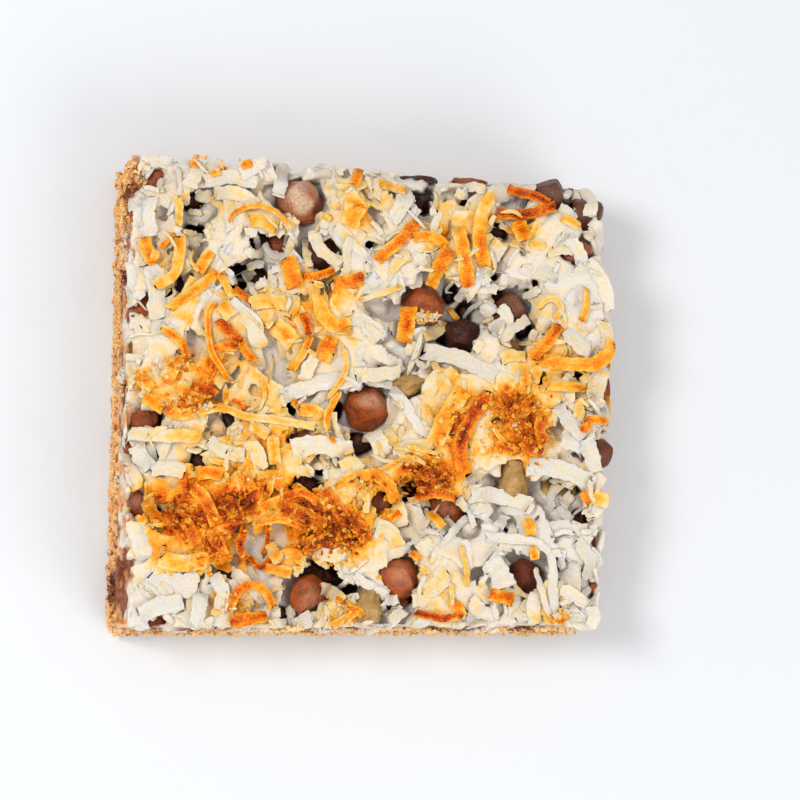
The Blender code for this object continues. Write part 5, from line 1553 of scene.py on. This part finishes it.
def coconut_bed(ground, top, finish):
    """The bed: core and lower shreds, run together by the milk into one craggy mass."""
    draw = random.Random(UNDER_SEED)
    shape, faces = model_shred(5)
    shreds = lay_random(ground, draw, **UNDER_LAID) + lay_random(ground, draw, **OVER_LAID)
    parts = [(cut_to_sides(shred.place(shape), 0.8), faces, {}) for shred in shreds]
    parts += side_parts(shape, faces, draw)
    bed = gather("coconut_bed", parts)
    core = core_of_bed(ground)
    pick(bed)
    core.select_set(True)
    bpy.ops.object.join()
    apply_step(bed, "REMESH", mode="VOXEL", voxel_size=BED_VOXEL * MM)
    apply_step(bed, "SMOOTH", factor=0.5, iterations=3)
    flatten_side(bed, BED_FLOOR, -1)
    triangles = sum(len(face.vertices) - 2 for face in bed.data.polygons)
    apply_step(bed, "DECIMATE", ratio=min(BED_FACES / triangles, 1))
    points = corners_of(bed) / MM
    toast = bed_toast(ground, points)
    normals = normals_of(bed)
    free = np.clip((points[:, 2] - BED_FLOOR - 0.3) / 0.6, 0, 1)
    gritty = np.clip((toast - 0.4) / 0.4, 0, 1)
    push = 0.10 * lumps(points, 1.1, 12) + 0.22 * gritty * lumps(points, 0.9, 13)
    points += normals * (push * free)[:, None]
    press_below(points, *BED_CREST)
    points = keep_in_box(points)
    move_corners(bed, points * MM)
    # How deep each point lies, which the finish paints grey, partly as painted shade
    deep = depth_of(ground, points, top)
    # Painted shade: deep in the dark openings the bed is painted near black
    in_pit = np.clip((deep - 0.5 + unevenness(points, UNEVEN_PIT)) / 0.12, 0, 1)
    wall = wall_of(points)
    write_values(bed, "toast", toast)
    write_values(bed, "deep", deep)
    write_values(bed, "pit_shade", np.clip(ground.read(ground.dark, points) * 2, 0, 1) * in_pit)
    write_values(bed, "wall", wall)
    mark_sides(bed, points, wall)
    smooth(bed)
    return finish_piece(bed, finish, "toasted_coconut", "coconut_topping")


def bed_toast(ground, points):
    """Toast of the bed: the field at each place, and each lower shred's own shade."""
    own = ground.near(ground.toast, points)
    here = ground.read(ground.brown, points)
    high = np.clip((points[:, 2] - 18.0) / 2.5, 0, 1)
    side = np.clip((points[:, 2] - 16.5) / 2.0, 0, 1)
    return np.clip(np.where(own < 0, here, 0.8 * own + 0.2 * here) * (0.5 + 0.5 * high) * side, 0, 1)


def depth_of(ground, points, top):
    """How far below the usual top each point is, from 0 to 1."""
    return np.clip((ground.read(top, points) - 0.4 - points[:, 2]) / 3.0, 0, 1)


def wall_of(points):
    """How much a point belongs to the lower part of a cut side, which is more crumb than coconut."""
    x, y = points[:, 0], points[:, 1]
    wavy = unevenness(points, UNEVEN_WALL)
    left_wall, right_wall, front_wall, back_wall = WALL_LEVELS
    sides = (
        ((x - left_side(y)) - 0.8 * (np.interp(y, *LEFT_SHARE) - 1.0), left_wall),
        (right_side(y) - x, right_wall),
        (y - front_side(x), front_wall),
        (back_side(x) - y, back_wall),
    )
    share = 0
    for near, level in sides:
        here = np.clip((2.2 - near) / 0.8, 0, 1) * np.clip((level + wavy - points[:, 2]) / 0.8, 0, 1)
        share = np.maximum(share, here)
    return share


def shred_piece(name, laid, cuts, ground, top, inset, finish):
    """Laid shreds as one piece."""
    shape, faces = model_shred(cuts)
    piece = gather(name, [shred_part(shred, shape, faces, ground, top, inset) for shred in laid])
    smooth(piece, 45)
    return finish_piece(piece, finish, "toasted_coconut", "coconut_topping")


def shred_part(shred, shape, faces, ground, top, inset):
    """A laid shred's corners, faces and values."""
    points = shred.place(shape)
    points = cut_to_sides(points, inset, 0.25, 0.3)
    press_below(points, *SHRED_CREST)
    points = keep_in_box(points)
    toast = shred.toast_at(shape, points) + unevenness(points, PATCHED_SHRED)
    length = np.linalg.norm(shred.middle[-1] - shred.middle[0])
    return points, faces, {
        "toast": np.clip(toast, 0, 1),
        "deep": depth_of(ground, points, top),
        "along": shape[:, 0] * length * 0.3,
        "across": shape[:, 1] * shred.width * 1.3,
        "own": np.full(len(points), shred.seed % 97 * 0.7),
    }


def loose_shreds(ground):
    """Flaps, crisp cream shreds and threads, laid by chance over the bed."""
    draw = random.Random(LOOSE_SEED)
    laid = rim_flaps(ground, random.Random(FLAP_SEED))
    laid += lay_random(ground, draw, **LOOSE_LAID)
    laid += lay_random(ground, draw, **THREADS_LAID)
    return laid


def broken(points, draw, cuts, low, high):
    """Flattens a rounded shape with a few plane cuts, as broken chocolate has."""
    middle = points.mean(0)
    cut = points - middle
    reach = np.linalg.norm(cut, axis=1).mean()
    for _ in range(cuts):
        way = np.array([draw.gauss(0, 1) for _ in range(3)])
        way /= np.linalg.norm(way)
        over = np.maximum(cut @ way - reach * draw.uniform(low, high), 0)
        cut -= 0.88 * over[:, None] * way
    return cut + middle


def as_large_as(points, name):
    """Points brought to the box of a solid."""
    low, high = box_of(name)
    share = (points - points.min(0)) / np.ptp(points, axis=0)
    return low + share * (high - low)


def softened_copy(name, layers, seed=0):
    """A copy of a solid with rounded edges, and its corners pushed in and out unevenly."""
    piece = copy_of_node(name, name + "_dressed")
    apply_step(piece, "SUBSURF", levels=3, render_levels=3)
    points = corners_of(piece) / MM
    return piece, points + normals_of(piece) * unevenness(points + seed, layers)[:, None]


def dress_chips(finish):
    """The chips that have solids of their own: softened, uneven, with bloom."""
    for name in sorted(frame["nodes"]):
        if not name.startswith("chip_"):
            continue
        seed = int(name[-2:])
        chip, points = softened_copy(name, UNEVEN_CHIP, seed)
        cuts, nearest = WHOLE_CUTS if name in WHOLE_CHIPS else BROKEN_CUTS
        move_corners(chip, broken(points, random.Random(seed), cuts, nearest, 0.9) * MM)
        apply_step(chip, "SMOOTH", factor=0.5, iterations=6)
        points = as_large_as(corners_of(chip) / MM, name)
        move_corners(chip, keep_in_box(points) * MM)
        write_values(chip, "dark", np.full(len(points), DARK_CHIPS.get(name, USUAL_DARK)))
        write_values(chip, "bloom", bloom_of(points, BLOOMED_CHIPS.get(name, USUAL_BLOOM), seed))
        smooth(chip)
        finish_piece(chip, finish, "milk_chocolate", name)


def dress_walnuts(finish):
    """The walnut pieces that have solids of their own."""
    for name in sorted(frame["nodes"]):
        if not name.startswith("walnut_"):
            continue
        nut, points = softened_copy(name, UNEVEN_WALNUT)
        points = as_large_as(broken(points, random.Random(int(name[-2:])), 6, 0.75, 0.95), name)
        move_corners(nut, keep_in_box(points) * MM)
        smooth(nut)
        finish_piece(nut, finish, "walnut", name)


def model_chip():
    """A chocolate chip, 2 across and upright: a disc extruded ring by ring."""
    deselect()
    bpy.ops.mesh.primitive_circle_add(vertices=18, radius=0.86, fill_type="NGON", location=(0, 0, 0))
    chip = bpy.context.object
    bpy.ops.object.mode_set(mode="EDIT")
    for radius, height in CHIP_OUTLINE:
        size = max(v.co.xy.length for v in bmesh.from_edit_mesh(chip.data).verts if v.select)
        level = max(v.co.z for v in bmesh.from_edit_mesh(chip.data).verts if v.select)
        bpy.ops.mesh.extrude_region_move(TRANSFORM_OT_translate={"value": (0, 0, height - level)})
        bpy.ops.transform.resize(value=(radius / size, radius / size, 1), center_override=(0, 0, height))
    bpy.ops.mesh.select_all(action="SELECT")
    bpy.ops.mesh.normals_make_consistent(inside=False)
    bpy.ops.object.mode_set(mode="OBJECT")
    apply_step(chip, "SUBSURF", levels=1, render_levels=1)
    points, faces = taken(chip)
    return points - [0, 0, CHIP_MIDDLE], faces


def model_nut():
    """A broken walnut piece, 2 long."""
    deselect()
    bpy.ops.mesh.primitive_ico_sphere_add(subdivisions=4, radius=1.0, location=(0, 0, 0))
    points, faces = taken(bpy.context.object)
    lobes = 0.14 * np.cos(3 * np.arctan2(points[:, 1], points[:, 0]))
    points *= (1 + lobes + unevenness(points, UNEVEN_NUT))[:, None]
    return points * [1.0, 0.72, 0.7], faces


def bloom_of(points, amount, seed):
    """Pale bloom in soft patches, mostly on what faces up."""
    up = (points[:, 2] - points[:, 2].min()) / np.ptp(points[:, 2])
    patch = 0.5 + unevenness(points + seed % 7, PATCHED_BLOOM)
    off = (points - points.mean(0))[:, :2] / np.ptp(points[:, :2], axis=0) * 2
    middle = np.clip(1.9 - 1.6 * np.hypot(off[:, 0], off[:, 1]), 0.1, 1.3)
    return np.clip(amount * patch * (0.3 + 0.9 * up) * middle, 0, 1)


def turned(points, draw, upright=0.5):
    """Points turned any way, or nearly upright."""
    first = Matrix.Rotation(draw.uniform(0, 2 * math.pi), 3, "Z")
    lean = Matrix.Rotation(draw.uniform(-1, 1) * upright * math.pi, 3, "X")
    last = Matrix.Rotation(draw.uniform(0, 2 * math.pi), 3, "Z")
    return points @ np.array(first @ lean @ last).T


def pieces_in_openings(ground, top, shapes):
    """The chips and nuts that show down in the openings, as (is it a nut, corners, values)."""
    draw = random.Random(SUNK_SEED)
    for px, py, length, width, _, kind, _ in OPENINGS:
        if kind in ("gap", "film"):
            continue
        deep = DARK_DEPTH if kind == "dark" else SUNK_DEPTH
        level = ground.read(top, spot(px, py)[None, :])[0] - deep
        middle = np.array([*spot(px, py, level), level])
        size = np.clip(max(length, width) / SCALE * 0.7, *SUNK_SIZE)
        points = turned(shapes[kind == "nut"][0], draw, 0.35) * size
        seed = draw.uniform(0, 90)
        points *= [1, 1, 0.85]
        points *= (1 + unevenness(points + seed, UNEVEN_SUNK))[:, None]
        if kind != "nut":
            points = broken(points, draw, 7, 0.7, 0.92)
        points = points + middle - [0, 0, points[:, 2].max() * 0.9]
        points = cut_to_sides(points, 0.9, 0.1, 0.2)
        points[:, 2] = np.maximum(points[:, 2], BASE_TOP + 1.0)
        # Painted shade: chips deep in the dark openings are made nearly the darkest chocolate, with
        # almost no bloom
        yield kind == "nut", points, {
            "dark": np.full(len(points), 0.95 if kind == "dark" else 0.3),
            "bloom": bloom_of(points, 0.02 if kind == "dark" else 0.15, seed),
        }


def pieces_in_sides(shapes):
    """The chips and nuts in the sides of the filling, in the same form."""
    draw = random.Random(SIDE_SEED)
    for i in range(SIDE_PIECES):
        u, v = round_the_bar((i + draw.uniform(0.2, 0.8)) / SIDE_PIECES * 4, 0.92)
        wide = draw.uniform(*SIDE_PIECE_WIDTH)
        height = min(wide * 0.8, 5.2)
        level = draw.uniform(BASE_TOP + GAP + height / 2 + 0.3, FILLING_TOP - height / 2 - 0.3)
        middle = np.array([*plan(u, v, 1.0 + wide * 0.34), level])
        around = np.array(Matrix.Rotation(draw.uniform(0, 2 * math.pi), 3, "Z"))
        is_nut = i % 4 == 3
        points = (shapes[is_nut][0] * [1, 1, 1.1 if is_nut else 1.0]) @ around.T
        points = points * [wide / 2, wide / 2, height / 2 / CHIP_MIDDLE]
        points += unevenness(points + i * 7, UNEVEN_SIDE_PIECE)[:, None]
        points = cut_to_sides(points + middle, 0.75, 0.06, 0.15)
        yield is_nut, points, {
            "dark": np.full(len(points), 0.2 + 0.5 * (i % 3 == 0)),
            "bloom": bloom_of(points, 0.2, i),
        }


def sunk_pieces(ground, top, chocolate, walnut):
    """The chips and nuts of the filling, as one piece of each kind."""
    shapes = {False: model_chip(), True: model_nut()}
    chips = []
    nuts = []
    for is_nut, points, values in [*pieces_in_openings(ground, top, shapes), *pieces_in_sides(shapes)]:
        part = keep_in_box(points), shapes[is_nut][1], {} if is_nut else values
        (nuts if is_nut else chips).append(part)
    for name, parts, finish, slot in (("sunk_chips", chips, chocolate, "milk_chocolate"),
                                      ("sunk_walnuts", nuts, walnut, "walnut")):
        piece = gather(name, parts)
        smooth(piece)
        finish_piece(piece, finish, slot, "chocolate_nut_layer")


def craggy_layer(node, name, low, high, crag, finish, slot):
    """A layer's solid made fine and craggy, its flat faces left with few faces."""
    piece = copy_of_node(node, name)
    apply_step(piece, "REMESH", mode="VOXEL", voxel_size=LAYER_VOXEL * MM)
    flatten_side(piece, low, -1)
    flatten_side(piece, high, 1)
    points = corners_of(piece) / MM
    free = np.clip((points[:, 2] - low - 0.3) / 0.7, 0, 1)
    push = crag * (unevenness(points, CRAGS) - 0.5)
    points += normals_of(piece) * (push * free)[:, None]
    points = keep_in_box(points, [*LOW[:2], -0.02])
    points[:, 2] = np.where(points[:, 2] < low + 0.25, low, points[:, 2])
    move_corners(piece, points * MM)
    mark_sides(piece, points)
    smooth(piece)
    return finish_piece(piece, finish, slot, node)


def model_grain():
    """A rough grain, 2 across, with few faces."""
    deselect()
    bpy.ops.mesh.primitive_ico_sphere_add(subdivisions=1, radius=1.0)
    return taken(bpy.context.object)


def toasted_grains(ground, top, finish):
    """Small toasted bits in the browned places."""
    draw = random.Random(GRAIN_SEED)
    shape, faces = model_grain()
    parts = []
    for px, py, across, up, count in GRAINED:
        for _ in range(count):
            place = spot(px + draw.gauss(0, 0.55) * across, py + draw.gauss(0, 0.55) * up)[None, :]
            size = draw.uniform(*GRAIN_SIZE)
            points = shape * [1.0, draw.uniform(0.4, 0.9), draw.uniform(0.14, 0.3)]
            points *= (1 + unevenness(shape * 0.9 + draw.uniform(0, 50), UNEVEN_GRAIN))[:, None]
            points = turned(points, draw, 0.22) * size
            points += [*place[0], ground.read(ground.height, place)[0] + 0.05]
            points = keep_in_box(cut_to_sides(points, 0.8))
            brown = 0.28 + 0.5 * ground.read(ground.brown, place)[0] + draw.gauss(0, 0.13)
            toast = np.clip(brown + unevenness(points, PATCHED_GRAIN), 0, 1)
            parts.append((points, faces, {"toast": toast, "deep": depth_of(ground, points, top)}))
    piece = gather("toasted_grains", parts)
    smooth(piece, 25)
    return finish_piece(piece, finish, "toasted_coconut", "coconut_topping")


def clumped_places(draw):
    """Places of the crumbs in the clumps."""
    places = []
    for px, py, across, up, level, count in CLUMPED:
        for _ in range(count):
            place = spot(px + draw.gauss(0, 0.5) * across, py + draw.gauss(0, 0.5) * up, level)
            place = np.maximum(place, [left_side(place[1]) + 0.4, front_side(place[0]) + 0.4])
            places.append([*place, level + draw.uniform(-0.8, 0.8)])
    return places


def crumbs(ground, finish):
    """Loose crumbs round the base's sides, in clumps, and a few on the coconut."""
    draw = random.Random(CRUMB_SEED)
    shape, faces = model_grain()
    parts = []
    clumped = clumped_places(draw)
    for i in range(SIDE_CRUMBS + TOP_CRUMBS + len(clumped)):
        size = draw.uniform(*CRUMB_SIZE) + LARGER_CRUMBS * draw.random() ** 4
        if i < SIDE_CRUMBS:
            u, v = round_the_bar(draw.uniform(0, 4), 0.97)
            level = draw.uniform(0.5, BASE_TOP + 0.4)
            middle = np.array([*plan(u, v, draw.uniform(0.1, 1.1)), level])
        elif i >= SIDE_CRUMBS + TOP_CRUMBS:
            middle = np.array(clumped[i - SIDE_CRUMBS - TOP_CRUMBS])
        else:
            size *= 0.35
            place = plan(draw.uniform(-0.95, 0.95), draw.uniform(-0.95, 0.95), 1.5)
            middle = np.array([*place, ground.read(ground.height, place[None, :])[0]])
        points = turned(shape, draw, 1.0) * size * [draw.uniform(0.7, 1.3) for _ in range(3)]
        points *= (1 + unevenness(points + i, UNEVEN_CRUMB))[:, None]
        parts.append((keep_in_box(points + middle), faces, {}))
    piece = gather("loose_crumbs", parts)
    mark_sides(piece, corners_of(piece) / MM)
    smooth(piece, 40)
    return finish_piece(piece, finish, "baked_crumb")


def stage():
    """A plain pale floor, soft light from the back left, and the camera."""
    deselect()
    bpy.ops.mesh.primitive_plane_add(size=4, location=(0, 0, 0))
    floor = bpy.context.object
    floor.name = "floor"
    pale = bpy.data.materials.new("pale_floor")
    pale.use_nodes = True
    shader = pale.node_tree.nodes["Principled BSDF"]
    shader.inputs["Base Color"].default_value = linear(*FLOOR)
    shader.inputs["Roughness"].default_value = 0.5
    floor.data.materials.append(pale)
    for name, place, size, power in LAMPS:
        light = bpy.data.lights.new(name, "AREA")
        light.shape = "DISK"
        light.size = size
        light.energy = power
        lamp = bpy.data.objects.new(name, light)
        lamp.location = place
        lamp.rotation_euler = (-Vector(place)).to_track_quat("-Z", "Y").to_euler()
        bpy.context.scene.collection.objects.link(lamp)
    world = bpy.data.worlds.new("studio")
    world.use_nodes = True
    sky = world.node_tree.nodes["Background"]
    sky.inputs["Color"].default_value = (0.95, 0.97, 1.0, 1.0)
    sky.inputs["Strength"].default_value = 0.6
    bpy.context.scene.world = world
    bpy.context.scene.view_settings.view_transform = "Standard"
    view = bpy.data.cameras.new("view")
    view.lens = LENS
    view.sensor_width = SENSOR
    view.clip_start = 0.01
    camera = bpy.data.objects.new("view", view)
    turn = Matrix([Vector(way) for way in camera_turn()]).transposed().to_4x4()
    camera.matrix_world = Matrix.Translation(Vector(CAMERA * MM)) @ turn
    bpy.context.scene.collection.objects.link(camera)
    bpy.context.scene.camera = camera


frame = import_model()
cad_box = [list(corner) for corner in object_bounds()]
LOW, HIGH = (np.array(corner) / MM for corner in cad_box)

coconut = coconut_finish("toasted_coconut")
chocolate = chocolate_finish("milk_chocolate")
walnut = walnut_finish("walnut")
crumb = crumb_finish("baked_crumb")
milk = milk_finish("baked_milk")

craggy_layer("crumb_base", "crumb_base_dressed", 0.0, BASE_TOP, 0.5, crumb, "baked_crumb")
craggy_layer("chocolate_nut_layer", "milk_layer", BASE_TOP + GAP, FILLING_TOP, 0.55, milk, "milk_filling")

ground, top = bed_ground()
coconut_bed(ground, top, coconut)
shred_piece("loose_shreds", loose_shreds(ground), 13, ground, top, 0.7, coconut)
cream = lay_rows(ground, random.Random(CREAM_SEED), CREAM, **CREAM_LAID)
shred_piece("cream_shreds", cream, 27, ground, top, 0.5, coconut)
toasted = lay_rows(ground, random.Random(TOAST_SEED), TOASTED, **TOASTED_LAID)
shred_piece("toasted_shreds", toasted, 27, ground, top, 0.5, coconut)
threads = lay_random(ground, random.Random(THREAD_SEED), **TOP_THREADS_LAID)
shred_piece("top_threads", threads, 5, ground, top, 0.7, coconut)
toasted_grains(ground, top, coconut)
dress_chips(chocolate)
dress_walnuts(walnut)
sunk_pieces(ground, top, chocolate, walnut)
crumbs(ground, crumb)
stage()
